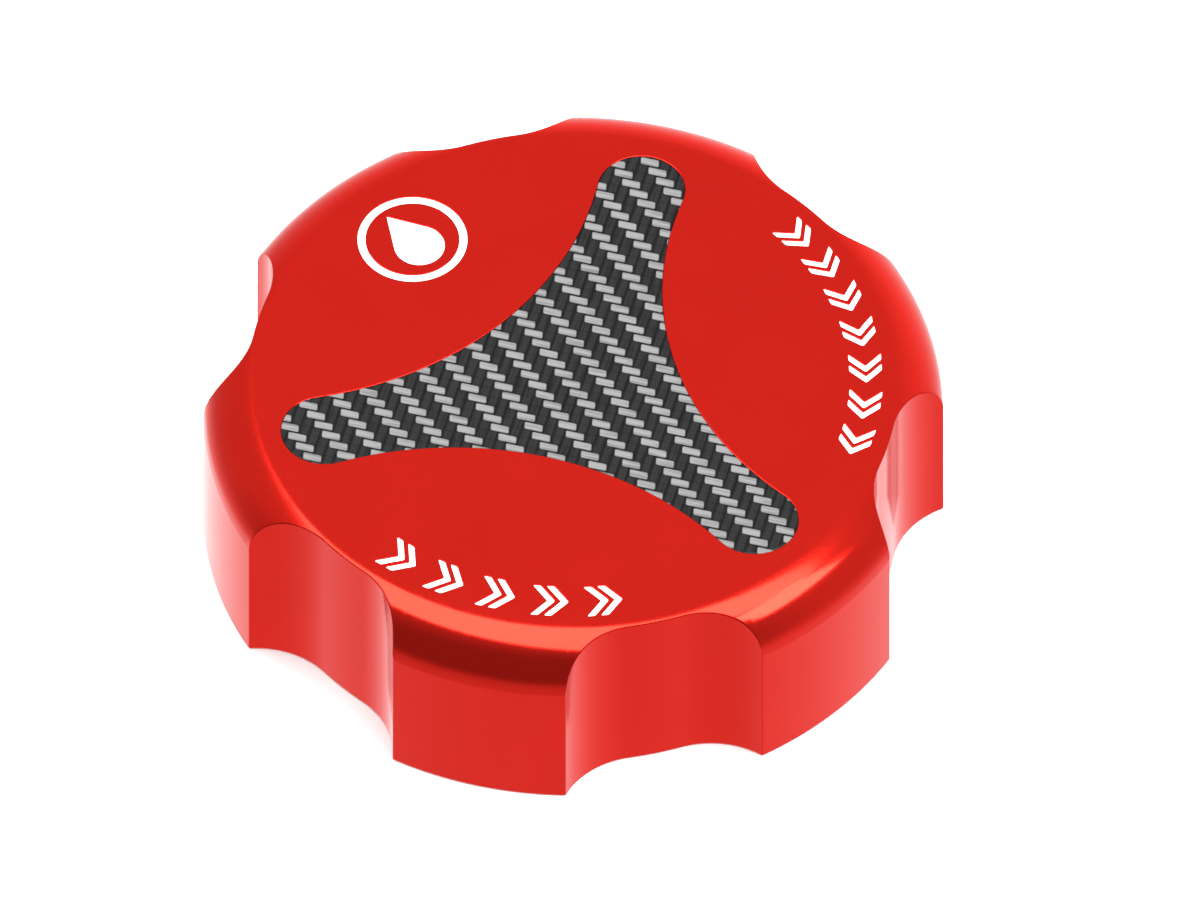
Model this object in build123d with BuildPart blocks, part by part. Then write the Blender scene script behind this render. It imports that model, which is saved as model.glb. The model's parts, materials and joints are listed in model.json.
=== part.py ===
from build123d import *
from math import acos, asin, atan2, cos, degrees, hypot, radians, sin
import os

# Screw cap of a motorcycle fuel tank.
# Millimetres, +Z up. The origin is the centre of the plane of the skirt's lower rim.
# One arm of the inlay points along +Y.

# ---------------------------------------------------------------- outside of the cap
CAP_RADIUS = 35.0
CAP_HEIGHT = 19.5
TOP_FILLET = 4.8
RIM_CHAMFER = 0.2

SCALLOPS = 6
SCALLOP_FLOOR_RADIUS = 30.8
SCALLOP_FLANK_RADIUS = 8.4
LAND_HALF_ANGLE = 14.03
FIRST_LAND_ANGLE = 30.0

# ---------------------------------------------------------------- inlay and marks
ARMS = 3
FIRST_ARM_ANGLE = 90.0
ARM_TIP_CENTRE = 24.33
ARM_TIP_RADIUS = 4.13
ARM_SIDE_CENTRE = 43.0
INLAY_THICKNESS = 0.8
INLAY_GAP = 0.04
BOND_THICKNESS = 0.2

MARK_DEPTH = 0.2
EMBLEM_CENTRE_RADIUS = 23.1
EMBLEM_ANGLE = 146.5
EMBLEM_RADIUS = 5.2
EMBLEM_RING_WIDTH = 0.75
DROP_RADIUS = 2.4
DROP_TIP = 4.7
DROP_SHIFT = 1.0
CHEVRON_STROKE = 0.72
CHEVRON_REACH = 1.5
CHEVRON_PAIR_STEP = 1.3
CLOSE_ARROWS = 7
CLOSE_FIRST_ANGLE = 55.5
CLOSE_STEP = -9.3
CLOSE_RADIUS = 27.65
CLOSE_SIZE = 3.1
OPEN_ARROWS = 5
OPEN_FIRST_ANGLE = 248.5
OPEN_STEP = 10.7
OPEN_RADIUS = 27.3
OPEN_SIZE = 3.6

# ---------------------------------------------------------------- inside of the cap
THREAD_CREST_RADIUS = 25.4
THREAD_DEPTH = 1.3
THREAD_PITCH = 3.0
THREAD_GROOVE_MOUTH = 1.4
THREAD_GROOVE_ROOT = 0.8
THREAD_TOP = 7.2
THREAD_OVERRUN = 2.0
LEAD_IN = 1.8

CHAMBER_RADIUS = 27.2
CHAMBER_TOP = 16.2
CHAMBER_CORNER = 0.8
BOSS_RADIUS = 14.0
BOSS_BOTTOM = 8.6
SOCKET_RADIUS = 10.0
SOCKET_TOP = 16.6
VENT_HEIGHT = 13.4
VENT_RADIUS = 0.6

# ---------------------------------------------------------------- valve cover
COVER_BOTTOM = 7.2
COVER_TOP = 8.3
COVER_RADIUS = 15.2
COVER_CHAMFER = 0.3
COVER_GASKET_RADIUS = 13.6
SCREWS = 3
SCREW_CIRCLE = 12.0
FIRST_SCREW_ANGLE = 30.0
SCREW_RADIUS = 1.0
SCREW_HEAD_RADIUS = 1.9
SCREW_HEAD_RIM = 0.2
SCREW_TOP = 12.6
SCREW_TIP_CHAMFER = 0.3
SCREW_HOLE_TOP = 13.0
SCREW_SLACK = 0.02
HEX_CIRCUMRADIUS = 0.75
HEX_DEPTH = 0.6

# ---------------------------------------------------------------- seal plate and its spring
PLATE_RADIUS = 25.3
PLATE_TOP = 11.2
PLATE_WEB = 1.2
PLATE_LIP_DROP = 1.0
PLATE_LIP_WIDTH = 0.8
HUB_RADIUS = 16.2
RUNNING_GAP = 0.05
GASKET_INNER = 20.4
GASKET_OUTER = 24.5
GASKET_BOTTOM = 7.8
GASKET_CHAMFER = 0.3
HUB_SEAL_HEIGHT = 9.8
HUB_SEAL_SECTION = 0.52
HUB_GROOVE_WIDTH = 1.2
HUB_GROOVE_DEPTH = 1.07
WASHER_THICKNESS = 0.6
WASHER_RADIUS = 21.0
WASHER_GAP = 0.15
PLATE_SPRING_RADIUS = 18.4
PLATE_SPRING_WIRE = 1.4
PLATE_SPRING_TURNS = 2.0

# ---------------------------------------------------------------- valve block
BLOCK_RADIUS = 9.95
BLOCK_TOP = 15.4
POCKET_CIRCLE = 5.2
BALL_ANGLE = 90.0
PRESSURE_ANGLE = 210.0
VACUUM_ANGLE = 330.0
BLOCK_RING_HEIGHTS = (9.4, 14.7)
BLOCK_RING_SECTION = 0.42
BLOCK_GROOVE_WIDTH = 1.0
BLOCK_GROOVE_FLOOR = 9.13
GALLERY_FLOOR = 9.4
GALLERY_LOW = 10.2
GALLERY_HIGH = 14.0
PORT_HEIGHT = 11.0
PORT_RADIUS = 0.7

# ---------------------------------------------------------------- rollover ball
BALL_RADIUS = 2.381
BALL_POCKET_RADIUS = 2.6
BALL_SEAT = 13.9
BALL_THROAT_RADIUS = 1.5
FLUTES = 3
FLUTE_RADIUS = 0.7
FLUTE_TOP = 12.6
INLETS = 3
INLET_RADIUS = 0.7
INLET_CIRCLE = 1.6

# ---------------------------------------------------------------- pressure valve
PRESSURE_POCKET_RADIUS = 3.2
PRESSURE_SEAT = 14.6
PRESSURE_THROAT_RADIUS = 1.4
PRESSURE_SEAL_RADIUS = 2.3
PRESSURE_SEAL_THICKNESS = 0.6
CUP_RADIUS = 3.1
CUP_HEIGHT = 2.4
CUP_BORE = 2.5
CUP_CROWN = 0.8
NOTCHES = 3
NOTCH_RADIUS = 0.6
PRESSURE_SPRING_RADIUS = 2.05
PRESSURE_SPRING_WIRE = 0.4
PRESSURE_SPRING_TURNS = 4.5

# ---------------------------------------------------------------- vacuum valve
VACUUM_POCKET_RADIUS = 3.2
VACUUM_SEAT = 13.9
VACUUM_WEB = 0.8
VACUUM_LOWER_RADIUS = 2.6
GUIDE_RADIUS = 0.66
FLOW_HOLES = 3
FLOW_RADIUS = 0.4
FLOW_CIRCLE = 1.35
VACUUM_SEAL_RADIUS = 2.4
VACUUM_SEAL_THICKNESS = 0.5
HEAD_RADIUS = 2.7
HEAD_THICKNESS = 0.7
STEM_RADIUS = 0.6
STEM_BOTTOM = 9.2
STEM_NECK_RADIUS = 0.42
CLIP_BOTTOM = 9.6
CLIP_THICKNESS = 0.3
CLIP_RADIUS = 1.75
VACUUM_SPRING_RADIUS = 1.25
VACUUM_SPRING_WIRE = 0.3
VACUUM_SPRING_TURNS = 5.0

# ---------------------------------------------------------------- heights that follow
MARK_FLOOR = CAP_HEIGHT - MARK_DEPTH
INLAY_BOTTOM = CAP_HEIGHT - INLAY_THICKNESS
POCKET_FLOOR = INLAY_BOTTOM - BOND_THICKNESS
WEB_BOTTOM = PLATE_TOP - PLATE_WEB
LIP_BOTTOM = WEB_BOTTOM - PLATE_LIP_DROP
PLATE_BORE = BOSS_RADIUS + RUNNING_GAP
WASHER_TOP = PLATE_TOP + WASHER_THICKNESS
CUP_TOP = PRESSURE_SEAT - PRESSURE_SEAL_THICKNESS
CUP_BOTTOM = CUP_TOP - CUP_HEIGHT
CUP_FLOOR = CUP_TOP - CUP_CROWN
VACUUM_WEB_BOTTOM = VACUUM_SEAT - VACUUM_WEB
HEAD_BOTTOM = VACUUM_SEAT + VACUUM_SEAL_THICKNESS
HEAD_TOP = HEAD_BOTTOM + HEAD_THICKNESS
CLIP_TOP = CLIP_BOTTOM + CLIP_THICKNESS
OVERCUT = 1.0

os.makedirs("parts", exist_ok=True)


# ---------------------------------------------------------------- helpers
def polar(radius, angle):
    """The point at this radius, and at this angle in degrees."""
    return (radius * cos(radians(angle)), radius * sin(radians(angle)))


def bearing(start, end):
    """The angle in degrees of the line from one point to another."""
    return degrees(atan2(end[1] - start[1], end[0] - start[0]))


def turn(start_angle, end_angle):
    """The smallest signed turn in degrees from one angle to another."""
    return (end_angle - start_angle + 180) % 360 - 180


def scalloped_outline():
    """Edges of the cap seen from above: lands on the full radius, and finger scallops between them.

    A scallop has a convex floor about the cap's axis, and at each side a concave flank that is
    tangent to the floor and ends at the land's sharp corner.
    """
    half_pitch = 180 / SCALLOPS
    flank_circle = SCALLOP_FLOOR_RADIUS + SCALLOP_FLANK_RADIUS
    corner_offset = half_pitch - LAND_HALF_ANGLE
    squares = flank_circle**2 + CAP_RADIUS**2 - SCALLOP_FLANK_RADIUS**2
    flank_offset = degrees(acos(squares / (2 * flank_circle * CAP_RADIUS)))
    floor_half_angle = corner_offset - flank_offset
    for k in range(SCALLOPS):
        land = FIRST_LAND_ANGLE + 2 * half_pitch * k
        scallop = land + half_pitch
        CenterArc((0, 0), CAP_RADIUS, land - LAND_HALF_ANGLE, 2 * LAND_HALF_ANGLE)
        CenterArc((0, 0), SCALLOP_FLOOR_RADIUS, scallop - floor_half_angle, 2 * floor_half_angle)
        for side in (-1, 1):
            centre_angle = scallop + side * floor_half_angle
            centre = polar(flank_circle, centre_angle)
            start = bearing(centre, polar(CAP_RADIUS, scallop + side * corner_offset))
            CenterArc(centre, SCALLOP_FLANK_RADIUS, start, turn(start, centre_angle + 180))


def inlay_outline():
    """Edges of the three-armed inlay: round tips joined by concave sides, all tangent."""
    half_pitch = 180 / ARMS
    for k in range(ARMS):
        arm = FIRST_ARM_ANGLE + 2 * half_pitch * k
        tip = polar(ARM_TIP_CENTRE, arm)
        next_tip = polar(ARM_TIP_CENTRE, arm + 2 * half_pitch)
        before = polar(ARM_SIDE_CENTRE, arm - half_pitch)
        after = polar(ARM_SIDE_CENTRE, arm + half_pitch)
        tip_start = bearing(tip, before)
        CenterArc(tip, ARM_TIP_RADIUS, tip_start, (bearing(tip, after) - tip_start) % 360)
        side_radius = hypot(after[0] - tip[0], after[1] - tip[1]) - ARM_TIP_RADIUS
        side_start = bearing(after, tip)
        CenterArc(after, side_radius, side_start, turn(side_start, bearing(after, next_tip)))


def profile(*points):
    """A closed face through these points, in the active sketch."""
    with BuildLine() as outline:
        Polyline(*points, close=True)
    make_face(outline.edges())


def double_chevron(size):
    """An arrow mark of two chevrons, this wide along X and pointing along +Y, in the active sketch."""
    half = size / 2
    for middle in (-CHEVRON_PAIR_STEP / 2, CHEVRON_PAIR_STEP / 2):
        low = middle - (CHEVRON_REACH + CHEVRON_STROKE) / 2
        profile(
            (-half, low),
            (0, low + CHEVRON_REACH),
            (half, low),
            (half, low + CHEVRON_STROKE),
            (0, low + CHEVRON_REACH + CHEVRON_STROKE),
            (-half, low + CHEVRON_STROKE),
        )


def ring_of_points(count, radius, first_angle=0.0, centre=(0, 0)):
    """Points spaced evenly on a circle round a centre."""
    points = [polar(radius, first_angle + k * 360 / count) for k in range(count)]
    return [(centre[0] + x, centre[1] + y) for x, y in points]


def coil_spring(radius, wire, turns, low, high, centre=(0, 0)):
    """Adds a coil spring between two seats to the active part, its end turns ground flat."""
    height = high - low
    with BuildLine() as wire_line:
        Helix(height / turns, height, radius, center=(*centre, low))
    seam = (1, 0, 1)
    with BuildSketch(Plane((centre[0] + radius, centre[1], low), seam, (0, -1, 0))) as section:
        Circle(wire / 2)
    sweep(section.sketch, path=wire_line.line, is_frenet=True)
    with BuildSketch(Plane.XY.offset(low)) as between_seats:
        with Locations(centre):
            Circle(radius + 2 * wire)
    extrude(between_seats.sketch, amount=height, mode=Mode.INTERSECT)


BALL_POCKET = polar(POCKET_CIRCLE, BALL_ANGLE)
PRESSURE_POCKET = polar(POCKET_CIRCLE, PRESSURE_ANGLE)
VACUUM_POCKET = polar(POCKET_CIRCLE, VACUUM_ANGLE)
SCREW_POINTS = ring_of_points(SCREWS, SCREW_CIRCLE, FIRST_SCREW_ANGLE)

# ---------------------------------------------------------------- marks on the top
# A ring with a fuel drop, and two arcs of arrows: clockwise to close, anticlockwise to open.
with BuildSketch() as drop:
    touch = degrees(asin(DROP_RADIUS / DROP_TIP))
    side = polar(DROP_RADIUS, touch)
    profile((0, 0), side, (0, DROP_TIP), (-side[0], side[1]))
    Circle(DROP_RADIUS)

with BuildSketch() as close_arrow:
    double_chevron(CLOSE_SIZE)

with BuildSketch() as open_arrow:
    double_chevron(OPEN_SIZE)

with BuildSketch(Plane.XY.offset(MARK_FLOOR)) as marks:
    with Locations(Location(polar(EMBLEM_CENTRE_RADIUS, EMBLEM_ANGLE))):
        Circle(EMBLEM_RADIUS)
        Circle(EMBLEM_RADIUS - EMBLEM_RING_WIDTH, mode=Mode.SUBTRACT)
    drop_point = polar(EMBLEM_CENTRE_RADIUS - DROP_SHIFT, EMBLEM_ANGLE)
    with Locations(Location((*drop_point, 0), (0, 0, EMBLEM_ANGLE - 90))):
        add(drop.sketch)
    for k in range(CLOSE_ARROWS):
        angle = CLOSE_FIRST_ANGLE + k * CLOSE_STEP
        with Locations(Location((*polar(CLOSE_RADIUS, angle), 0), (0, 0, angle + 180))):
            add(close_arrow.sketch)
    for k in range(OPEN_ARROWS):
        angle = OPEN_FIRST_ANGLE + k * OPEN_STEP
        with Locations(Location((*polar(OPEN_RADIUS, angle), 0), (0, 0, angle))):
            add(open_arrow.sketch)

with BuildPart() as marking_enamel:
    add(marks.sketch)
    extrude(amount=MARK_DEPTH)

marking_enamel.part.label = "marking_enamel"
export_step(marking_enamel.part, "parts/marking_enamel.step")

# ---------------------------------------------------------------- cap body
with BuildPart() as thread_groove:
    start = -THREAD_OVERRUN
    inner = THREAD_CREST_RADIUS - THREAD_DEPTH
    outer = THREAD_CREST_RADIUS + THREAD_DEPTH
    half_mouth = THREAD_GROOVE_MOUTH / 2
    half_root = THREAD_GROOVE_ROOT / 2
    half_inner = THREAD_GROOVE_MOUTH - half_root
    with BuildLine():
        Helix(THREAD_PITCH, THREAD_TOP + 2 * THREAD_OVERRUN, THREAD_CREST_RADIUS, center=(0, 0, start))
    with BuildSketch(Plane.XZ):
        profile(
            (inner, start - half_inner),
            (outer, start - half_root),
            (outer, start + half_root),
            (inner, start + half_inner),
        )
    sweep(is_frenet=True)

with BuildPart() as cap_body:
    Cylinder(CAP_RADIUS, CAP_HEIGHT, align=(Align.CENTER, Align.CENTER, Align.MIN))
    fillet(cap_body.edges().group_by(Axis.Z)[-1], TOP_FILLET)
    with BuildSketch():
        with BuildLine():
            scalloped_outline()
        make_face()
    extrude(amount=CAP_HEIGHT, mode=Mode.INTERSECT)
    chamfer(cap_body.edges().group_by(Axis.Z)[0], RIM_CHAMFER)
    with BuildSketch(Plane.XZ):
        profile(
            (0, 0),
            (THREAD_CREST_RADIUS, 0),
            (THREAD_CREST_RADIUS, CHAMBER_TOP),
            (BOSS_RADIUS, CHAMBER_TOP),
            (BOSS_RADIUS, BOSS_BOTTOM),
            (SOCKET_RADIUS, BOSS_BOTTOM),
            (SOCKET_RADIUS, SOCKET_TOP),
            (0, SOCKET_TOP),
        )
    revolve(axis=Axis.Z, mode=Mode.SUBTRACT)
    add(thread_groove.part, mode=Mode.SUBTRACT)
    with BuildSketch(Plane.XZ):
        profile(
            (0, 0),
            (THREAD_CREST_RADIUS + LEAD_IN, 0),
            (THREAD_CREST_RADIUS - OVERCUT, LEAD_IN + OVERCUT),
            (0, LEAD_IN + OVERCUT),
        )
    revolve(axis=Axis.Z, mode=Mode.SUBTRACT)
    shoulder_slope = CHAMBER_CORNER / (CHAMBER_RADIUS - THREAD_CREST_RADIUS)
    with BuildSketch(Plane.XZ):
        profile(
            (THREAD_CREST_RADIUS - OVERCUT, THREAD_TOP - OVERCUT * shoulder_slope),
            (CHAMBER_RADIUS, THREAD_TOP + CHAMBER_CORNER),
            (CHAMBER_RADIUS, CHAMBER_TOP - CHAMBER_CORNER),
            (CHAMBER_RADIUS - CHAMBER_CORNER, CHAMBER_TOP),
            (THREAD_CREST_RADIUS - OVERCUT, CHAMBER_TOP),
        )
    revolve(axis=Axis.Z, mode=Mode.SUBTRACT)
    with BuildSketch(Plane.XY.offset(POCKET_FLOOR)):
        with BuildLine():
            inlay_outline()
        make_face()
        offset(amount=INLAY_GAP)
    extrude(amount=CAP_HEIGHT - POCKET_FLOOR, mode=Mode.SUBTRACT)
    add(marks.sketch)
    extrude(amount=MARK_DEPTH, mode=Mode.SUBTRACT)
    with BuildSketch(Plane.XY.offset(BOSS_BOTTOM)):
        with Locations(*SCREW_POINTS):
            Circle(SCREW_RADIUS)
    extrude(amount=SCREW_HOLE_TOP - BOSS_BOTTOM, mode=Mode.SUBTRACT)
    for angle in (PRESSURE_ANGLE, VACUUM_ANGLE):
        with BuildSketch(Plane((0, 0, VENT_HEIGHT), (0, 0, 1), (*polar(1, angle), 0))):
            Circle(VENT_RADIUS)
        extrude(amount=BOSS_RADIUS + OVERCUT, mode=Mode.SUBTRACT)

cap_body.part.label = "cap_body"
export_step(cap_body.part, "parts/cap_body.step")

# ---------------------------------------------------------------- inlay
with BuildPart() as carbon_inlay:
    with BuildSketch(Plane.XY.offset(INLAY_BOTTOM)):
        with BuildLine():
            inlay_outline()
        make_face()
    extrude(amount=INLAY_THICKNESS)

carbon_inlay.part.label = "carbon_inlay"
export_step(carbon_inlay.part, "parts/carbon_inlay.step")

with BuildPart() as inlay_adhesive:
    with BuildSketch(Plane.XY.offset(POCKET_FLOOR)):
        with BuildLine():
            inlay_outline()
        make_face()
    extrude(amount=BOND_THICKNESS)

inlay_adhesive.part.label = "inlay_adhesive"
export_step(inlay_adhesive.part, "parts/inlay_adhesive.step")

# ---------------------------------------------------------------- seal plate, gasket and spring
with BuildPart() as seal_plate:
    with BuildSketch(Plane.XZ):
        profile(
            (PLATE_BORE, COVER_TOP),
            (HUB_RADIUS, COVER_TOP),
            (HUB_RADIUS, WEB_BOTTOM),
            (GASKET_INNER - PLATE_LIP_WIDTH, WEB_BOTTOM),
            (GASKET_INNER - PLATE_LIP_WIDTH, LIP_BOTTOM),
            (GASKET_INNER, LIP_BOTTOM),
            (GASKET_INNER, WEB_BOTTOM),
            (GASKET_OUTER, WEB_BOTTOM),
            (GASKET_OUTER, LIP_BOTTOM),
            (PLATE_RADIUS, LIP_BOTTOM),
            (PLATE_RADIUS, PLATE_TOP),
            (PLATE_BORE, PLATE_TOP),
            (PLATE_BORE, HUB_SEAL_HEIGHT + HUB_GROOVE_WIDTH / 2),
            (PLATE_BORE + HUB_GROOVE_DEPTH, HUB_SEAL_HEIGHT + HUB_GROOVE_WIDTH / 2),
            (PLATE_BORE + HUB_GROOVE_DEPTH, HUB_SEAL_HEIGHT - HUB_GROOVE_WIDTH / 2),
            (PLATE_BORE, HUB_SEAL_HEIGHT - HUB_GROOVE_WIDTH / 2),
        )
    revolve(axis=Axis.Z)

seal_plate.part.label = "seal_plate"
export_step(seal_plate.part, "parts/seal_plate.step")

with BuildPart() as neck_gasket:
    with BuildSketch(Plane.XY.offset(GASKET_BOTTOM)):
        Circle(GASKET_OUTER)
        Circle(GASKET_INNER, mode=Mode.SUBTRACT)
    extrude(amount=WEB_BOTTOM - GASKET_BOTTOM)
    chamfer(neck_gasket.edges().group_by(Axis.Z)[0], GASKET_CHAMFER)

neck_gasket.part.label = "neck_gasket"
export_step(neck_gasket.part, "parts/neck_gasket.step")

with BuildPart() as hub_seal:
    with BuildSketch(Plane.XZ):
        with Locations((PLATE_BORE + HUB_SEAL_SECTION, HUB_SEAL_HEIGHT)):
            Circle(HUB_SEAL_SECTION)
    revolve(axis=Axis.Z)

hub_seal.part.label = "hub_seal"
export_step(hub_seal.part, "parts/hub_seal.step")

with BuildPart() as slip_washer:
    with BuildSketch(Plane.XY.offset(PLATE_TOP)):
        Circle(WASHER_RADIUS)
        Circle(BOSS_RADIUS + WASHER_GAP, mode=Mode.SUBTRACT)
    extrude(amount=WASHER_THICKNESS)

slip_washer.part.label = "slip_washer"
export_step(slip_washer.part, "parts/slip_washer.step")

with BuildPart() as plate_spring:
    coil_spring(
        PLATE_SPRING_RADIUS, PLATE_SPRING_WIRE, PLATE_SPRING_TURNS, WASHER_TOP, CHAMBER_TOP
    )

plate_spring.part.label = "plate_spring"
export_step(plate_spring.part, "parts/plate_spring.step")

# ---------------------------------------------------------------- valve block
with BuildPart() as valve_block:
    with BuildSketch(Plane.XZ):
        profile((0, BOSS_BOTTOM), (BLOCK_RADIUS, BOSS_BOTTOM), (BLOCK_RADIUS, BLOCK_TOP), (0, BLOCK_TOP))
        ring_spans = [
            (BLOCK_GROOVE_FLOOR, z - BLOCK_GROOVE_WIDTH / 2, z + BLOCK_GROOVE_WIDTH / 2)
            for z in BLOCK_RING_HEIGHTS
        ]
        for floor, low, high in (*ring_spans, (GALLERY_FLOOR, GALLERY_LOW, GALLERY_HIGH)):
            with Locations(((floor + BLOCK_RADIUS) / 2, (low + high) / 2)):
                Rectangle(BLOCK_RADIUS - floor, high - low, mode=Mode.SUBTRACT)
    revolve(axis=Axis.Z)
    for point, radius, low, high in (
        (BALL_POCKET, BALL_POCKET_RADIUS, BOSS_BOTTOM, BALL_SEAT),
        (BALL_POCKET, BALL_THROAT_RADIUS, BALL_SEAT, BLOCK_TOP),
        (PRESSURE_POCKET, PRESSURE_POCKET_RADIUS, BOSS_BOTTOM, PRESSURE_SEAT),
        (PRESSURE_POCKET, PRESSURE_THROAT_RADIUS, PRESSURE_SEAT, BLOCK_TOP),
        (VACUUM_POCKET, VACUUM_LOWER_RADIUS, BOSS_BOTTOM, VACUUM_WEB_BOTTOM),
        (VACUUM_POCKET, GUIDE_RADIUS, VACUUM_WEB_BOTTOM, VACUUM_SEAT),
        (VACUUM_POCKET, VACUUM_POCKET_RADIUS, VACUUM_SEAT, BLOCK_TOP),
    ):
        with BuildSketch(Plane.XY.offset(low)):
            with Locations(point):
                Circle(radius)
        extrude(amount=high - low, mode=Mode.SUBTRACT)
    with BuildSketch(Plane.XY.offset(BOSS_BOTTOM)):
        with Locations(*ring_of_points(FLUTES, BALL_POCKET_RADIUS, BALL_ANGLE, BALL_POCKET)):
            Circle(FLUTE_RADIUS)
    extrude(amount=FLUTE_TOP - BOSS_BOTTOM, mode=Mode.SUBTRACT)
    with BuildSketch(Plane.XY.offset(VACUUM_WEB_BOTTOM)):
        with Locations(*ring_of_points(FLOW_HOLES, FLOW_CIRCLE, VACUUM_ANGLE, VACUUM_POCKET)):
            Circle(FLOW_RADIUS)
    extrude(amount=VACUUM_WEB, mode=Mode.SUBTRACT)
    for angle in (PRESSURE_ANGLE, VACUUM_ANGLE):
        outward = (*polar(1, angle), 0)
        with BuildSketch(Plane((*polar(POCKET_CIRCLE, angle), PORT_HEIGHT), (0, 0, 1), outward)):
            Circle(PORT_RADIUS)
        extrude(amount=BLOCK_RADIUS, mode=Mode.SUBTRACT)

valve_block.part.label = "valve_block"
export_step(valve_block.part, "parts/valve_block.step")

with BuildPart() as block_o_rings:
    with BuildSketch(Plane.XZ):
        with Locations(*[(BLOCK_GROOVE_FLOOR + BLOCK_RING_SECTION, z) for z in BLOCK_RING_HEIGHTS]):
            Circle(BLOCK_RING_SECTION)
    revolve(axis=Axis.Z)

block_o_rings.part.label = "block_o_rings"
export_step(block_o_rings.part, "parts/block_o_rings.step")

# ---------------------------------------------------------------- valve cover and its screws
with BuildPart() as valve_cover:
    with BuildSketch(Plane.XY.offset(COVER_BOTTOM)):
        Circle(COVER_RADIUS)
        with Locations(*SCREW_POINTS):
            Circle(SCREW_RADIUS, mode=Mode.SUBTRACT)
        with Locations(*ring_of_points(INLETS, INLET_CIRCLE, BALL_ANGLE, BALL_POCKET)):
            Circle(INLET_RADIUS, mode=Mode.SUBTRACT)
    extrude(amount=COVER_TOP - COVER_BOTTOM)
    chamfer(valve_cover.edges().group_by(Axis.Z)[0].sort_by(SortBy.LENGTH)[-1], COVER_CHAMFER)
    with BuildSketch(Plane.XY.offset(COVER_BOTTOM)):
        with Locations(*SCREW_POINTS):
            Circle(SCREW_HEAD_RADIUS)
    extrude(amount=SCREW_HEAD_RIM, mode=Mode.SUBTRACT)
    with BuildSketch(Plane.XY.offset(COVER_BOTTOM + SCREW_HEAD_RIM)):
        with Locations(*SCREW_POINTS):
            Circle(SCREW_HEAD_RADIUS)
    extrude(amount=SCREW_HEAD_RADIUS - SCREW_RADIUS, taper=45, mode=Mode.SUBTRACT)

valve_cover.part.label = "valve_cover"
export_step(valve_cover.part, "parts/valve_cover.step")

with BuildPart() as cover_gasket:
    with BuildSketch(Plane.XY.offset(COVER_TOP)):
        Circle(COVER_GASKET_RADIUS)
        with Locations(*SCREW_POINTS):
            Circle(SCREW_RADIUS, mode=Mode.SUBTRACT)
        with Locations(BALL_POCKET):
            Circle(BALL_POCKET_RADIUS, mode=Mode.SUBTRACT)
    extrude(amount=BOSS_BOTTOM - COVER_TOP)

cover_gasket.part.label = "cover_gasket"
export_step(cover_gasket.part, "parts/cover_gasket.step")

with BuildPart() as cover_screws:
    shank = SCREW_RADIUS - SCREW_SLACK
    head = SCREW_HEAD_RADIUS - SCREW_SLACK
    with BuildSketch(Plane((*SCREW_POINTS[0], 0), (1, 0, 0), (0, -1, 0))):
        profile(
            (0, COVER_BOTTOM),
            (head, COVER_BOTTOM),
            (head, COVER_BOTTOM + SCREW_HEAD_RIM),
            (shank, COVER_BOTTOM + SCREW_HEAD_RIM + head - shank),
            (shank, SCREW_TOP - SCREW_TIP_CHAMFER),
            (shank - SCREW_TIP_CHAMFER, SCREW_TOP),
            (0, SCREW_TOP),
        )
    revolve(axis=Axis((*SCREW_POINTS[0], 0), (0, 0, 1)))
    with BuildSketch(Plane.XY.offset(COVER_BOTTOM)):
        with Locations(SCREW_POINTS[0]):
            RegularPolygon(HEX_CIRCUMRADIUS, 6)
    extrude(amount=HEX_DEPTH, mode=Mode.SUBTRACT)
    with PolarLocations(0, SCREWS):
        add(cover_screws.part)

cover_screws.part.label = "cover_screws"
export_step(cover_screws.part, "parts/cover_screws.step")

# ---------------------------------------------------------------- rollover ball
with BuildPart() as rollover_ball:
    with Locations((*BALL_POCKET, COVER_TOP + BALL_RADIUS)):
        Sphere(BALL_RADIUS)

rollover_ball.part.label = "rollover_ball"
export_step(rollover_ball.part, "parts/rollover_ball.step")

# ---------------------------------------------------------------- pressure valve
with BuildPart() as pressure_poppet:
    with BuildSketch(Plane.XY.offset(CUP_BOTTOM)):
        with Locations(PRESSURE_POCKET):
            Circle(CUP_RADIUS)
        with Locations(*ring_of_points(NOTCHES, CUP_RADIUS, PRESSURE_ANGLE, PRESSURE_POCKET)):
            Circle(NOTCH_RADIUS, mode=Mode.SUBTRACT)
    extrude(amount=CUP_HEIGHT)
    with BuildSketch(Plane.XY.offset(CUP_BOTTOM)):
        with Locations(PRESSURE_POCKET):
            Circle(CUP_BORE)
    extrude(amount=CUP_FLOOR - CUP_BOTTOM, mode=Mode.SUBTRACT)

pressure_poppet.part.label = "pressure_poppet"
export_step(pressure_poppet.part, "parts/pressure_poppet.step")

with BuildPart() as pressure_seal:
    with BuildSketch(Plane.XY.offset(CUP_TOP)):
        with Locations(PRESSURE_POCKET):
            Circle(PRESSURE_SEAL_RADIUS)
    extrude(amount=PRESSURE_SEAL_THICKNESS)

pressure_seal.part.label = "pressure_seal"
export_step(pressure_seal.part, "parts/pressure_seal.step")

with BuildPart() as pressure_spring:
    coil_spring(
        PRESSURE_SPRING_RADIUS,
        PRESSURE_SPRING_WIRE,
        PRESSURE_SPRING_TURNS,
        BOSS_BOTTOM,
        CUP_FLOOR,
        PRESSURE_POCKET,
    )

pressure_spring.part.label = "pressure_spring"
export_step(pressure_spring.part, "parts/pressure_spring.step")

# ---------------------------------------------------------------- vacuum valve
with BuildPart() as vacuum_poppet:
    for radius, low, high in (
        (STEM_RADIUS, STEM_BOTTOM, CLIP_BOTTOM),
        (STEM_NECK_RADIUS, CLIP_BOTTOM, CLIP_TOP),
        (STEM_RADIUS, CLIP_TOP, HEAD_BOTTOM),
        (HEAD_RADIUS, HEAD_BOTTOM, HEAD_TOP),
    ):
        with BuildSketch(Plane.XY.offset(low)):
            with Locations(VACUUM_POCKET):
                Circle(radius)
        extrude(amount=high - low)

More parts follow.
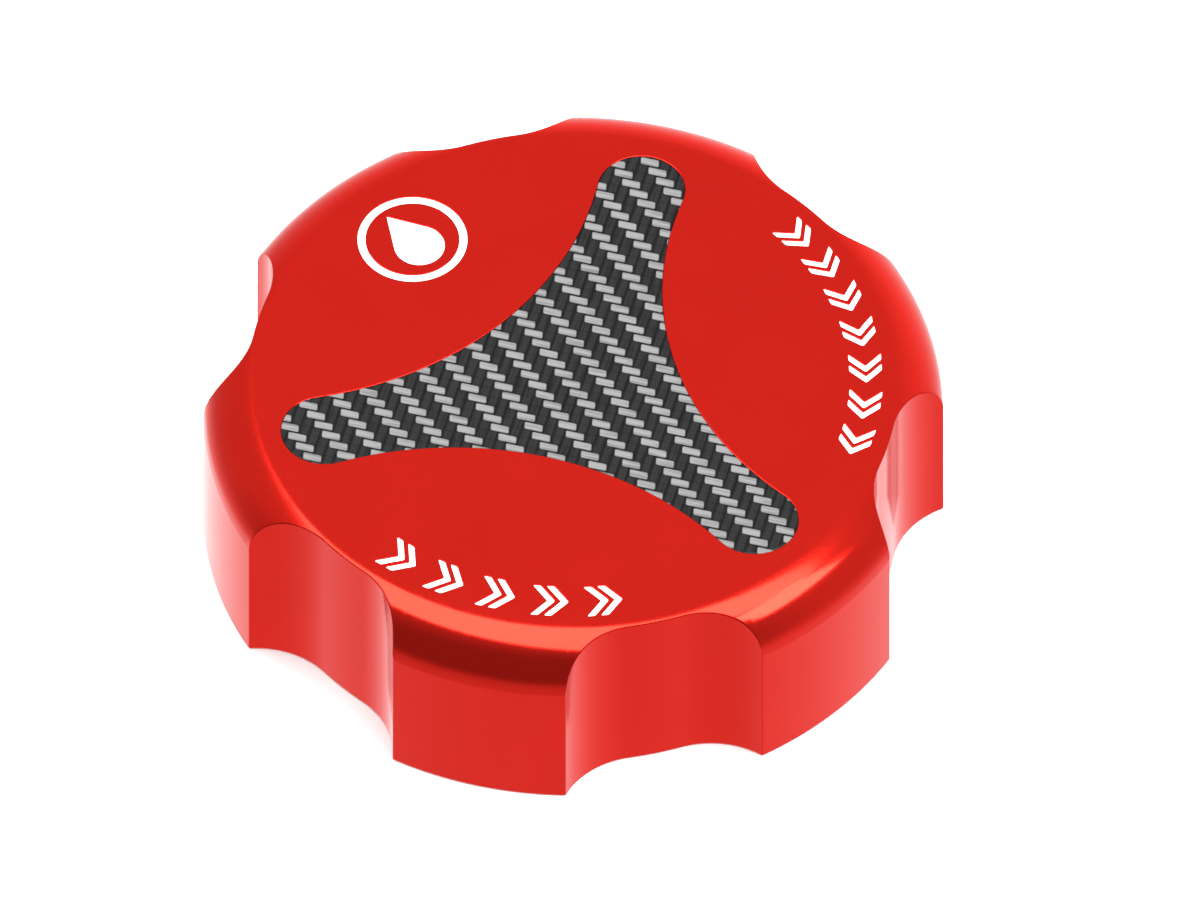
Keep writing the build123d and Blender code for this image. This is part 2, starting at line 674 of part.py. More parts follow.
vacuum_poppet.part.label = "vacuum_poppet"
export_step(vacuum_poppet.part, "parts/vacuum_poppet.step")

with BuildPart() as vacuum_seal:
    with BuildSketch(Plane.XY.offset(VACUUM_SEAT)):
        with Locations(VACUUM_POCKET):
            Circle(VACUUM_SEAL_RADIUS)
            Circle(STEM_RADIUS, mode=Mode.SUBTRACT)
    extrude(amount=VACUUM_SEAL_THICKNESS)

vacuum_seal.part.label = "vacuum_seal"
export_step(vacuum_seal.part, "parts/vacuum_seal.step")

with BuildPart() as stem_clip:
    with BuildSketch(Plane.XY.offset(CLIP_BOTTOM)):
        with Locations(VACUUM_POCKET):
            Circle(CLIP_RADIUS)
            Circle(STEM_NECK_RADIUS, mode=Mode.SUBTRACT)
            Rectangle(
                CLIP_RADIUS, 2 * STEM_NECK_RADIUS, align=(Align.MIN, Align.CENTER), mode=Mode.SUBTRACT
            )
    extrude(amount=CLIP_THICKNESS)

stem_clip.part.label = "stem_clip"
export_step(stem_clip.part, "parts/stem_clip.step")

with BuildPart() as vacuum_spring:
    coil_spring(
        VACUUM_SPRING_RADIUS,
        VACUUM_SPRING_WIRE,
        VACUUM_SPRING_TURNS,
        CLIP_TOP,
        VACUUM_WEB_BOTTOM,
        VACUUM_POCKET,
    )

vacuum_spring.part.label = "vacuum_spring"
export_step(vacuum_spring.part, "parts/vacuum_spring.step")
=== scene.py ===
import json
from math import acos, asin, atan2, ceil, copysign, cos, degrees, floor, hypot, pi, radians, sin, sqrt

import bmesh
import bpy
import numpy as np
from mathutils import Matrix, Vector
from mathutils.geometry import delaunay_2d_cdt


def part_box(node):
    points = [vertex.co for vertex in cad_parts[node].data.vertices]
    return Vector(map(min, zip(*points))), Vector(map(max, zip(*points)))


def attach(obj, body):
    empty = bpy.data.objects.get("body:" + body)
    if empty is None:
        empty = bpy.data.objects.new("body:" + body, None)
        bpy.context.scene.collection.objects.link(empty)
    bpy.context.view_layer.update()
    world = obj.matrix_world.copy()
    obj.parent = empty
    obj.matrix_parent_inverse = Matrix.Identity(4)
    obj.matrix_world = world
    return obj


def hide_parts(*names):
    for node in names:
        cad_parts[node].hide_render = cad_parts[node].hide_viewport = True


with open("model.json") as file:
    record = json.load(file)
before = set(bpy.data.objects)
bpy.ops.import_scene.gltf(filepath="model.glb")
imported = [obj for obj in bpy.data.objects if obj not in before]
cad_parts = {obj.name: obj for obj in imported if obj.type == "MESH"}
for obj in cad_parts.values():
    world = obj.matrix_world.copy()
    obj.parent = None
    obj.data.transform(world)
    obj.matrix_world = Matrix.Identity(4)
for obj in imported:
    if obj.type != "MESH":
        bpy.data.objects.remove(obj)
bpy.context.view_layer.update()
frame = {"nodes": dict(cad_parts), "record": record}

# A screw cap of a motorcycle's fuel tank. Shapes are worked out in millimetres, and become metres
# when a mesh is made. +Z is up, and one arm of the inlay points along +Y.
MM = 0.001


def heights(node):
    """The lowest and highest z of a CAD node, in millimetres."""
    low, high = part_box(node)
    return low.z / MM, high.z / MM


def outer_radius(node):
    """The outer radius of a round CAD node on the cap's axis, in millimetres."""
    low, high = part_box(node)
    return (high.y - low.y) / 2 / MM


# ------------------------------------------------------------------ sizes, in millimetres
CAP_RADIUS = 35.0
CAP_BOTTOM, CAP_HEIGHT = heights("cap_body")
TOP_FILLET = 4.8
RIM_CHAMFER = 0.2
FILLET_ROWS = 16
EDGE = 0.12
EDGE_STEPS = (0.3, 0.65, 1.0)
FINE_EDGE = 0.05
ROUNDING = 0.3
MARK_LIP = 0.03
POCKET_LIP = 0.015
MARK_CORNER = 0.16
LIP_BAND = 0.05
ROUND_COLUMNS = 240
COVER_COLUMNS = 180
EMBLEM_COLUMNS = 96

SCALLOPS = 6
SCALLOP_FLOOR_RADIUS = 30.8
SCALLOP_FLANK_RADIUS = 8.4
LAND_HALF_ANGLE = 14.03
FIRST_LAND_ANGLE = 30.0

ARMS = 3
FIRST_ARM_ANGLE = 90.0
ARM_TIP_CENTRE = 24.33
ARM_TIP_RADIUS = 4.13
ARM_SIDE_CENTRE = 43.0
INLAY_GAP = 0.04

EMBLEM_CENTRE_RADIUS = 23.1
EMBLEM_ANGLE = 146.5
EMBLEM_RADIUS = 5.2
EMBLEM_RING_WIDTH = 0.75
DROP_RADIUS = 2.4
DROP_TIP = 4.7
DROP_SHIFT = 1.0
CHEVRON_STROKE = 0.72
CHEVRON_REACH = 1.5
CHEVRON_PAIR_STEP = 1.3
CLOSE_ARROWS, CLOSE_FIRST_ANGLE, CLOSE_STEP, CLOSE_RADIUS, CLOSE_SIZE = 7, 55.5, -9.3, 27.65, 3.1
OPEN_ARROWS, OPEN_FIRST_ANGLE, OPEN_STEP, OPEN_RADIUS, OPEN_SIZE = 5, 248.5, 10.7, 27.3, 3.6
ENAMEL_SINK = 0.02

THREAD_CREST_RADIUS = 25.4
THREAD_DEPTH = 1.3
THREAD_PITCH = 3.0
THREAD_GROOVE_MOUTH = 1.4
THREAD_GROOVE_ROOT = 0.8
THREAD_TOP = 7.2
THREAD_ROW_SHARE = 0.15
THREAD_PAST_MOUTH = 1.08
LEAD_IN = 1.8
CHAMBER_RADIUS = 27.2
CHAMBER_TOP = 16.2
CHAMBER_CORNER = 0.8
BOSS_RADIUS = 14.0
SOCKET_RADIUS = 10.0
SOCKET_TOP = 16.6
SCREW_HOLE_TOP = 13.0

SCREWS = 3
SCREW_CIRCLE = 12.0
FIRST_SCREW_ANGLE = 30.0
SCREW_RADIUS = 1.0
SCREW_HEAD_RADIUS = 1.9
SCREW_HEAD_RIM = 0.2
SCREW_SLACK = 0.02
HEX_CIRCUMRADIUS = 0.75
HEX_DEPTH = 0.6
HEX_LIP = 0.08
HEX_CORNER = 0.04
SCREW_TIP = 0.3
COVER_ROUND = 0.3
POCKET_CIRCLE = 5.2
BALL_ANGLE = 90.0
INLETS = 3
INLET_RADIUS = 0.7
INLET_CIRCLE = 1.6
INLET_LIP = ((0.12, 0.0), (0.03, 0.05), (0.0, 0.14))

PLATE_BORE = 14.05
HUB_RADIUS = 16.2
PLATE_WEB = 1.2
PLATE_LIP_WIDTH = 0.8
PLATE_LIP_DEPTH = 1.0
PRESS_BEND = 0.2
GASKET_INNER = 20.4
GASKET_OUTER = 24.5
GASKET_CORNER = 0.25
BEAD_HALF_WIDTH = 0.5
BEAD_HEIGHT = 0.35
BEAD_OFFSET = 0.85
BEAD_STEPS = 8
HUB_SEAL_HEIGHT = 9.8
HUB_GROOVE_WIDTH = 1.2
HUB_GROOVE_DEPTH = 1.07

# The weave. All but the tows' pitch are counted in tows.
TOW_PITCH = 1.0115
FLOAT_HALF_LENGTH = 0.865
FLOAT_HALF_WIDTH = 0.40
FLOAT_CORNER = 0.16
FLOAT_INNER_BLUR = 0.07
FLOAT_OUTER_BLUR = 0.05
FLOAT_SLANT = 0.22
TWILL_PERIOD = 4
FIRST_TOW_ACROSS = 0.097
FIRST_TOW_ALONG = -0.012

MARK_FLOOR, MARK_TOP = heights("marking_enamel")
INLAY_BOTTOM, INLAY_TOP = heights("carbon_inlay")
POCKET_FLOOR = heights("inlay_adhesive")[0]
COVER_BOTTOM, COVER_TOP = heights("valve_cover")
COVER_RADIUS = outer_radius("valve_cover")
SCREW_TOP = heights("cover_screws")[1]
PLATE_BOTTOM, PLATE_TOP = heights("seal_plate")
PLATE_RADIUS = outer_radius("seal_plate")
GASKET_BOTTOM, GASKET_TOP = heights("neck_gasket")
BOSS_BOTTOM = heights("valve_block")[0]


# ------------------------------------------------------------------ points and outlines
def polar(radius, angle):
    """The point at this radius, and at this angle in degrees."""
    return (radius * cos(radians(angle)), radius * sin(radians(angle)))


def bearing(start, end):
    """The angle in degrees of the line from one point to another."""
    return degrees(atan2(end[1] - start[1], end[0] - start[0]))


def turn(start_angle, end_angle):
    """The smallest signed turn in degrees from one angle to another."""
    return (end_angle - start_angle + 180) % 360 - 180


def arc(centre, radius, start, sweep, step):
    """Points along an arc, from its start up to but not including its end."""
    count = max(1, ceil(abs(sweep) / step))
    points = [polar(radius, start + sweep * k / count) for k in range(count)]
    return [(centre[0] + x, centre[1] + y) for x, y in points]


def circle(radius, count, centre=(0, 0), first_angle=0.0):
    """A round loop of points, anticlockwise."""
    points = [polar(radius, first_angle + 360 * k / count) for k in range(count)]
    return [(centre[0] + x, centre[1] + y) for x, y in points]


SCREW_POINTS = circle(SCREW_CIRCLE, SCREWS, (0, 0), FIRST_SCREW_ANGLE)

# The largest turn in degrees from one point of an arc to the next.
WIDE_STEP = 1.5
ARM_SIDE_STEP = 1.6
FLANK_STEP = 4.0
TIP_STEP = 5.0


def soften(loop, size, corner=25.0, steps=3):
    """The same closed loop with each sharp corner turned into a small smooth curve."""
    softened = []
    for k, point in enumerate(loop):
        before, after = loop[k - 1], loop[(k + 1) % len(loop)]
        if abs(turn(bearing(before, point), bearing(point, after))) < corner:
            softened.append(point)
            continue
        near, here, far = Vector(before), Vector(point), Vector(after)
        start = here + (near - here).normalized() * min(size, (near - here).length / 2)
        end = here + (far - here).normalized() * min(size, (far - here).length / 2)
        for s in range(steps + 1):
            t = s / steps
            place = start * (1 - t) ** 2 + here * (2 * t * (1 - t)) + end * t**2
            softened.append((place.x, place.y))
    return softened


def grown(loop, amount):
    """An anticlockwise loop moved outwards by this much, its corners mitred."""
    moved = []
    for k, point in enumerate(loop):
        before, after = loop[k - 1], loop[(k + 1) % len(loop)]
        first = Vector((point[0] - before[0], point[1] - before[1])).normalized()
        second = Vector((after[0] - point[0], after[1] - point[1])).normalized()
        normal = Vector((first.y + second.y, -first.x - second.x))
        normal *= amount * 2 / max(normal.length_squared, 1.0)
        moved.append((point[0] + normal.x, point[1] + normal.y))
    return moved


def placed(loop, centre, angle):
    """The loop turned by this angle in degrees, then moved."""
    c, s = cos(radians(angle)), sin(radians(angle))
    return [(centre[0] + x * c - y * s, centre[1] + x * s + y * c) for x, y in loop]


def scalloped_outline():
    """The cap seen from above: lands on the full radius, and finger scallops between them."""
    half_pitch = 180 / SCALLOPS
    flank_circle = SCALLOP_FLOOR_RADIUS + SCALLOP_FLANK_RADIUS
    corner_offset = half_pitch - LAND_HALF_ANGLE
    squares = flank_circle**2 + CAP_RADIUS**2 - SCALLOP_FLANK_RADIUS**2
    floor_half_angle = corner_offset - degrees(acos(squares / (2 * flank_circle * CAP_RADIUS)))
    points = []
    for k in range(SCALLOPS):
        land = FIRST_LAND_ANGLE + 2 * half_pitch * k
        scallop = land + half_pitch
        points += arc((0, 0), CAP_RADIUS, land - LAND_HALF_ANGLE, 2 * LAND_HALF_ANGLE, WIDE_STEP)
        for side in (-1, 1):
            centre_angle = scallop + side * floor_half_angle
            centre = polar(flank_circle, centre_angle)
            corner = bearing(centre, polar(CAP_RADIUS, scallop + side * corner_offset))
            sweep = turn(corner, centre_angle + 180)
            if side < 0:
                points += arc(centre, SCALLOP_FLANK_RADIUS, corner, sweep, FLANK_STEP)
                floor_start = scallop - floor_half_angle
                points += arc((0, 0), SCALLOP_FLOOR_RADIUS, floor_start, 2 * floor_half_angle, WIDE_STEP)
            else:
                points += arc(centre, SCALLOP_FLANK_RADIUS, corner + sweep, -sweep, FLANK_STEP)
    return soften(points, EDGE)


def inlay_outline():
    """The three-armed inlay: round tips joined by concave sides, all tangent."""
    half_pitch = 180 / ARMS
    points = []
    for k in range(ARMS):
        arm = FIRST_ARM_ANGLE + 2 * half_pitch * k
        tip = polar(ARM_TIP_CENTRE, arm)
        next_tip = polar(ARM_TIP_CENTRE, arm + 2 * half_pitch)
        before = polar(ARM_SIDE_CENTRE, arm - half_pitch)
        after = polar(ARM_SIDE_CENTRE, arm + half_pitch)
        tip_start = bearing(tip, before)
        tip_sweep = (bearing(tip, after) - tip_start) % 360
        points += arc(tip, ARM_TIP_RADIUS, tip_start, tip_sweep, TIP_STEP)
        side_radius = hypot(after[0] - tip[0], after[1] - tip[1]) - ARM_TIP_RADIUS
        side_start = bearing(after, tip)
        side_sweep = turn(side_start, bearing(after, next_tip))
        points += arc(after, side_radius, side_start, side_sweep, ARM_SIDE_STEP)
    return points


def drop_outline():
    """A fuel drop: a circle drawn out to a tip along +Y."""
    touch = degrees(asin(DROP_RADIUS / DROP_TIP))
    sweep = 180 + 2 * touch
    belly = arc((0, 0), DROP_RADIUS, 180 - touch, sweep, TIP_STEP)
    return soften([(0, DROP_TIP)] + belly + [polar(DROP_RADIUS, touch)], EDGE)


def chevron_outlines(size):
    """Two chevrons of this width along X, one behind the other, that point along +Y."""
    half = size / 2
    pair = []
    for middle in (-CHEVRON_PAIR_STEP / 2, CHEVRON_PAIR_STEP / 2):
        low = middle - (CHEVRON_REACH + CHEVRON_STROKE) / 2
        loop = [
            (-half, low),
            (0, low + CHEVRON_REACH),
            (half, low),
            (half, low + CHEVRON_STROKE),
            (0, low + CHEVRON_REACH + CHEVRON_STROKE),
            (-half, low + CHEVRON_STROKE),
        ]
        pair.append(soften(loop, MARK_CORNER))
    return pair


def mark_shapes():
    """The marks on the top: a ring, its inside and the drop, then all the chevrons."""
    centre = polar(EMBLEM_CENTRE_RADIUS, EMBLEM_ANGLE)
    ring = circle(EMBLEM_RADIUS, EMBLEM_COLUMNS, centre)
    inside = circle(EMBLEM_RADIUS - EMBLEM_RING_WIDTH, EMBLEM_COLUMNS, centre)
    drop_centre = polar(EMBLEM_CENTRE_RADIUS - DROP_SHIFT, EMBLEM_ANGLE)
    drop = placed(drop_outline(), drop_centre, EMBLEM_ANGLE - 90)
    chevrons = []
    for k in range(CLOSE_ARROWS):
        angle = CLOSE_FIRST_ANGLE + k * CLOSE_STEP
        for loop in chevron_outlines(CLOSE_SIZE):
            chevrons.append(placed(loop, polar(CLOSE_RADIUS, angle), angle + 180))
    for k in range(OPEN_ARROWS):
        angle = OPEN_FIRST_ANGLE + k * OPEN_STEP
        for loop in chevron_outlines(OPEN_SIZE):
            chevrons.append(placed(loop, polar(OPEN_RADIUS, angle), angle))
    return ring, inside, drop, chevrons


def inside_loop(points, loop):
    """For each point, whether it lies inside a closed loop: an edge crosses an odd number of times."""
    x, y = points[:, :1], points[:, 1:]
    x0, y0 = loop[:, 0], loop[:, 1]
    x1, y1 = np.roll(x0, -1), np.roll(y0, -1)
    spans = (y0 > y) != (y1 > y)
    rise = np.where(y1 == y0, 1.0, y1 - y0)
    crossings = spans & (x < x0 + (y - y0) * (x1 - x0) / rise)
    return crossings.sum(axis=1) % 2 == 1


# ------------------------------------------------------------------ meshes
class Builder:
    """Collects the rings, strips and flat fills that a mesh is made of."""

    def __init__(self):
        self.points = []
        self.faces = []
        self.kinds = []
        self.kind = 0

    def ring(self, loop, z):
        """Adds a loop of points at one height, or at a list of heights."""
        first = len(self.points)
        levels = z if isinstance(z, list) else [z] * len(loop)
        self.points += [(x, y, level) for (x, y), level in zip(loop, levels)]
        return list(range(first, len(self.points)))

    def face(self, corners):
        """Adds one face of the builder's present kind, which picks the material."""
        self.faces.append(corners)
        self.kinds.append(self.kind)

    def strip(self, low, high):
        """Joins two rings that have as many points each."""
        for k in range(len(low)):
            self.face((low[k - 1], low[k], high[k], high[k - 1]))

    def wall(self, loop, profile):
        """Stacks rings of one loop, grown and raised by the profile. Returns the first and the last."""
        rings = [self.ring(grown(loop, amount), z) for amount, z in profile]
        for low, high in zip(rings, rings[1:]):
            self.strip(low, high)
        return rings[0], rings[-1]

    def fill(self, *rings):
        """Closes the flat area inside the first ring, leaving out the other rings."""
        corners = [k for ring in rings for k in ring]
        flat = [Vector(self.points[k][:2]) for k in corners]
        edges = []
        for ring in rings:
            start = len(edges)
            edges += [(start + k, start + (k + 1) % len(ring)) for k in range(len(ring))]
        made = delaunay_2d_cdt(flat, edges, [], 0, 1e-9)
        sources = [corners[group[0]] for group in made[3]]
        triangles = [[sources[k] for k in triangle] for triangle in made[2]]
        places = np.array(self.points)[:, :2]
        middles = places[np.array(triangles)].mean(axis=1)
        kept = inside_loop(middles, places[rings[0]])
        for hole in rings[1:]:
            kept &= ~inside_loop(middles, places[hole])
        for triangle, wanted in zip(triangles, kept):
            if wanted:
                self.face(tuple(triangle))

    def piece(self, name, body, slot, materials, replaces):
        """Makes the mesh object, with smooth shading that keeps flat faces flat."""
        mesh = bpy.data.meshes.new(name)
        mesh.from_pydata([Vector(p) * MM for p in self.points], [], self.faces)
        for material in materials:
            mesh.materials.append(material)
        mesh.polygons.foreach_set("material_index", self.kinds)
        tidy = bmesh.new()
        tidy.from_mesh(mesh)
        bmesh.ops.remove_doubles(tidy, verts=tidy.verts, dist=1e-7)
        bmesh.ops.dissolve_degenerate(tidy, edges=tidy.edges, dist=1e-7)
        bmesh.ops.recalc_face_normals(tidy, faces=tidy.faces)
        tidy.to_mesh(mesh)
        tidy.free()
        mesh.polygons.foreach_set("use_smooth", [True] * len(mesh.polygons))
        piece = bpy.data.objects.new(name, mesh)
        bpy.context.scene.collection.objects.link(piece)
        normals = piece.modifiers.new("flat_faces", "WEIGHTED_NORMAL")
        normals.mode = "FACE_AREA"
        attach(piece, body)
        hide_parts(replaces)
        return piece


def turned(builder, profile, columns):
    """Turns an open line of radius and height points about the cap's axis. Returns its rings."""
    rings = [builder.ring(circle(radius, columns), z) for radius, z in profile]
    for low, high in zip(rings, rings[1:]):
        builder.strip(low, high)
    return rings


def lathe(builder, profile, size):
    """Turns a closed profile of radius and height points, its corners rounded by this size."""
    rings = turned(builder, soften(profile, size), ROUND_COLUMNS)
    builder.strip(rings[-1], rings[0])


# ------------------------------------------------------------------ materials
TURNING_PATCH = 1.5
FIBRE_BUNDLE = 0.20
FIBRE_STRETCH = 0.07
BLACK = (0.0, 0.0, 0.0)


class Material:
    """A material's nodes, joined with short calls."""

    def __init__(self, name, color, metallic=0.0, roughness=0.4):
        self.made = bpy.data.materials.new(name)
        self.made.use_nodes = True
        self.tree = self.made.node_tree
        self.shader = self.tree.nodes["Principled BSDF"]
        self.set("Base Color", (*color, 1))
        self.set("Metallic", metallic)
        self.set("Roughness", roughness)
        self.place = self.tree.nodes.new("ShaderNodeTexCoord").outputs["Object"]

    def set(self, socket, value):
        """Gives one of the shader's sockets a number, a colour or the output of a node."""
        if isinstance(value, bpy.types.NodeSocket):
            self.tree.links.new(value, self.shader.inputs[socket])
        else:
            self.shader.inputs[socket].default_value = value

    def node(self, kind, inputs, **settings):
        """Adds a node. The inputs are by number, and each is a value or another node's output."""
        node = self.tree.nodes.new(kind)
        for key, value in settings.items():
            setattr(node, key, value)
        for key, value in inputs.items():
            if isinstance(value, bpy.types.NodeSocket):
                self.tree.links.new(value, node.inputs[key])
            else:
                node.inputs[key].default_value = value
        return node

    def math(self, operation, *values):
        """The result of a sum on values or outputs."""
        return self.node("ShaderNodeMath", dict(enumerate(values)), operation=operation).outputs[0]

    def axes(self):
        """The place's three coordinates, in metres."""
        return self.node("ShaderNodeSeparateXYZ", {0: self.place}).outputs

    def radius(self):
        """How far a point is from the cap's axis."""
        x, y = self.axes()[:2]
        flat = self.node("ShaderNodeCombineXYZ", {0: x, 1: y})
        return self.node("ShaderNodeVectorMath", {0: flat.outputs[0]}, operation="LENGTH").outputs[1]

    def stretched(self, scale):
        """The place scaled along each axis, which draws noise out into streaks."""
        return self.node("ShaderNodeMapping", {"Vector": self.place, "Scale": scale}).outputs[0]

    def noise(self, size, detail=3.0, vector=None):
        """Noise with features about this many millimetres across."""
        place = self.place if vector is None else vector
        inputs = {"Vector": place, "Scale": 1 / (size * MM), "Detail": detail}
        return self.node("ShaderNodeTexNoise", inputs).outputs[0]

    def range(self, value, low, high, to_low, to_high, smooth=False):
        """The value moved from one range to another, and kept inside it."""
        kind = "SMOOTHSTEP" if smooth else "LINEAR"
        inputs = {0: value, 1: low, 2: high, 3: to_low, 4: to_high}
        return self.node("ShaderNodeMapRange", inputs, interpolation_type=kind).outputs[0]

    def blend(self, amount, low, high):
        """A colour between two colours."""
        colors = [(*c, 1) if isinstance(c, tuple) else c for c in (low, high)]
        inputs = {0: amount, 6: colors[0], 7: colors[1]}
        return self.node("ShaderNodeMix", inputs, data_type="RGBA").outputs[2]

    def bump(self, height, distance, strength=1.0):
        """Bump whose height of 1 stands this many millimetres high."""
        inputs = {"Strength": strength, "Distance": distance * MM, "Height": height}
        self.set("Normal", self.node("ShaderNodeBump", inputs).outputs[0])

    def mottle(self, dark, light, patch, roughness, spread, grain):
        """Patches between two near colours, and finer grains of roughness round a middle value."""
        self.set("Base Color", self.blend(self.noise(patch), dark, light))
        fine = self.noise(grain, detail=4.0)
        self.set("Roughness", self.range(fine, 0.3, 0.7, roughness - spread, roughness + spread))

    def turning(self, pitch, distance):
        """Fine rings that a lathe leaves, on faces and on bores."""
        travel = self.math("ADD", self.radius(), self.axes()[2])
        wave = self.math("SINE", self.math("MULTIPLY", travel, 2 * pi / (pitch * MM)))
        uneven = self.math("MULTIPLY", wave, self.noise(TURNING_PATCH))
        self.bump(uneven, distance)


def red_anodised():
    """Bead-blasted and dyed aluminium, smooth to the touch."""
    m = Material("red_anodised", (0.69, 0.0195, 0.0122), metallic=1.0)
    m.mottle(
        (0.655, 0.0178, 0.0112), (0.72, 0.0208, 0.0130), patch=9.0, roughness=0.13, spread=0.015, grain=0.25
    )
    m.bump(m.noise(0.12, detail=2.0), distance=0.0004)
    return m.made


def red_turned():
    """The same dye over the fine rings of a turned bore."""
    m = Material("red_turned", (0.69, 0.0195, 0.0122), metallic=1.0)
    m.mottle(
        (0.63, 0.0170, 0.0108), (0.70, 0.0200, 0.0125), patch=6.0, roughness=0.24, spread=0.03, grain=0.3
    )
    m.turning(pitch=0.11, distance=0.004)
    return m.made


def twill_places(m):
    """Where a point lies in the weave, in tows: in its float, in its row and in its column."""
    x, y = m.axes()[:2]
    across = m.math("MULTIPLY_ADD", x, 1 / (TOW_PITCH * MM), FIRST_TOW_ACROSS)
    along = m.math("MULTIPLY_ADD", y, 1 / (TOW_PITCH * MM), FIRST_TOW_ALONG)
    in_row = m.math("SUBTRACT", m.math("FRACT", along), 0.5)
    shifted = m.math("ADD", across, m.math("FLOOR", along))
    slanted = m.math("MULTIPLY_ADD", in_row, FLOAT_SLANT, shifted)
    turns = m.math("FRACT", m.math("MULTIPLY_ADD", slanted, 1 / TWILL_PERIOD, 0.75))
    in_float = m.math("MULTIPLY", m.math("SUBTRACT", turns, 0.5), TWILL_PERIOD)
    in_column = m.math("SUBTRACT", m.math("FRACT", across), 0.5)
    return in_float, in_row, in_column


def float_mask(m, in_float, in_row):
    """1 on a float of a tow along X, which gets the painted sheen, and 0 off it. A float is a rectangle
    with rounded corners.
    """
    sides = []
    for place, half in ((in_float, FLOAT_HALF_LENGTH), (in_row, FLOAT_HALF_WIDTH)):
        beyond = m.math("SUBTRACT", m.math("ABSOLUTE", place), half - FLOAT_CORNER)
        sides.append(m.math("MAXIMUM", beyond, 0.0))
    corner = m.node("ShaderNodeCombineXYZ", {0: sides[0], 1: sides[1]}).outputs[0]
    away = m.node("ShaderNodeVectorMath", {0: corner}, operation="LENGTH").outputs[1]
    return m.range(away, FLOAT_CORNER - FLOAT_INNER_BLUR, FLOAT_CORNER + FLOAT_OUTER_BLUR, 1, 0, True)


def carbon_twill():
    """2/2 twill under clear resin: tows along X float over two tows along Y. The tows along X are painted
    as a bright sheen and those along Y painted dim, a painted reflection of one black fibre, with painted
    shading over each tow's rounded top.
    """
    m = Material("carbon_twill", (0.05, 0.05, 0.05), roughness=0.42)
    in_float, in_row, in_column = twill_places(m)
    bright = float_mask(m, in_float, in_row)
    weft_fibres = m.noise(FIBRE_BUNDLE, 4.0, m.stretched((FIBRE_STRETCH, 1.0, 1.0)))
    warp_fibres = m.noise(FIBRE_BUNDLE, 4.0, m.stretched((1.0, FIBRE_STRETCH, 1.0)))

    # Painted shading on each float along X: lighter along its middle, darker towards its edges, and lighter
    # at one end than at the other. The same middle-high profile also raises the bump.
    crown_bump_and_highlight = m.range(m.math("ABSOLUTE", in_row), 0.0, 0.5, 1.0, 0.70)
    painted_end_shading = m.range(in_float, -1.0, 1.0, 1.08, 0.92)
    streaks = m.range(weft_fibres, 0.3, 0.7, 0.68, 1.34)
    light = m.math("MULTIPLY", m.math("MULTIPLY", crown_bump_and_highlight, painted_end_shading), streaks)
    # Painted reflection: the tows along X get a light grey and the tows along Y a near black, though both
    # are the same black fibre.
    painted_sheen_weft = m.blend(light, BLACK, (0.180, 0.179, 0.179))
    # Painted shading on the tows along Y: lighter along their middle and darker towards their sides. They
    # are also darker where the rows meet.
    painted_warp_crown_shading = m.range(m.math("ABSOLUTE", in_column), 0.20, 0.5, 1.0, 0.15, True)
    dark_streaks = m.range(warp_fibres, 0.3, 0.7, 0.45, 1.55)
    between_rows = m.range(m.math("ABSOLUTE", in_row), 0.38, 0.5, 1.0, 0.55, True)
    dark = m.math("MULTIPLY", m.math("MULTIPLY", painted_warp_crown_shading, dark_streaks), between_rows)
    painted_dim_warp = m.blend(dark, BLACK, (0.0120, 0.0121, 0.0124))

    m.set("Base Color", m.blend(bright, painted_dim_warp, painted_sheen_weft))
    m.set("Roughness", m.range(weft_fibres, 0.3, 0.7, 0.36, 0.48))
    relief = m.math("ADD", m.math("MULTIPLY", bright, crown_bump_and_highlight), m.math("MULTIPLY", weft_fibres, 0.08))
    m.bump(relief, 0.02, 0.6)
    m.set("Specular IOR Level", 0.05)
    m.set("Coat Weight", 0.15)
    m.set("Coat Roughness", 0.06)
    return m.made


def white_enamel():
    """Baked white enamel, a little uneven where it was wiped."""
    m = Material("white_enamel", (0.9, 0.9, 0.9))
    m.mottle((0.87, 0.87, 0.87), (0.91, 0.91, 0.91), patch=1.2, roughness=0.32, spread=0.04, grain=0.2)
    m.bump(m.noise(0.3, detail=2.0), distance=0.001)
    return m.made


def bond_film():
    """Cured epoxy, slightly cloudy."""
    m = Material("bond_film", (0.55, 0.5, 0.38), roughness=0.5)
    m.mottle((0.50, 0.45, 0.33), (0.60, 0.55, 0.43), patch=0.8, roughness=0.5, spread=0.08, grain=0.3)
    m.bump(m.noise(0.4), distance=0.01)
    m.set("Subsurface Weight", 0.1)
    return m.made


def zinc_steel():
    """Pressed steel with clear passivated zinc: grey with a faint yellow and blue cast."""
    m = Material("zinc_steel", (0.62, 0.62, 0.60), metallic=1.0)
    m.mottle((0.56, 0.58, 0.62), (0.68, 0.65, 0.56), patch=5.0, roughness=0.30, spread=0.06, grain=0.5)
    m.turning(pitch=0.3, distance=0.0025)
    return m.made


def stainless():
    """Turned stainless steel."""
    m = Material("stainless", (0.62, 0.62, 0.61), metallic=1.0)
    m.mottle((0.55, 0.55, 0.55), (0.65, 0.65, 0.64), patch=3.0, roughness=0.24, spread=0.05, grain=0.15)
    m.turning(pitch=0.14, distance=0.0035)
    return m.made


def spring_steel():
    """Drawn wire with a faint brown tint in places."""
    m = Material("spring_steel", (0.42, 0.42, 0.43), metallic=1.0)
    m.mottle((0.36, 0.36, 0.38), (0.48, 0.47, 0.45), patch=1.5, roughness=0.30, spread=0.08, grain=0.2)
    m.bump(m.noise(0.08, detail=4.0), distance=0.002)
    return m.made


def bronze():
    """Turned phosphor bronze, darker where it has been handled."""
    m = Material("bronze", (0.60, 0.38, 0.18), metallic=1.0)
    m.mottle((0.50, 0.29, 0.13), (0.66, 0.43, 0.21), patch=4.0, roughness=0.30, spread=0.07, grain=0.4)
    m.turning(pitch=0.2, distance=0.003)
    return m.made


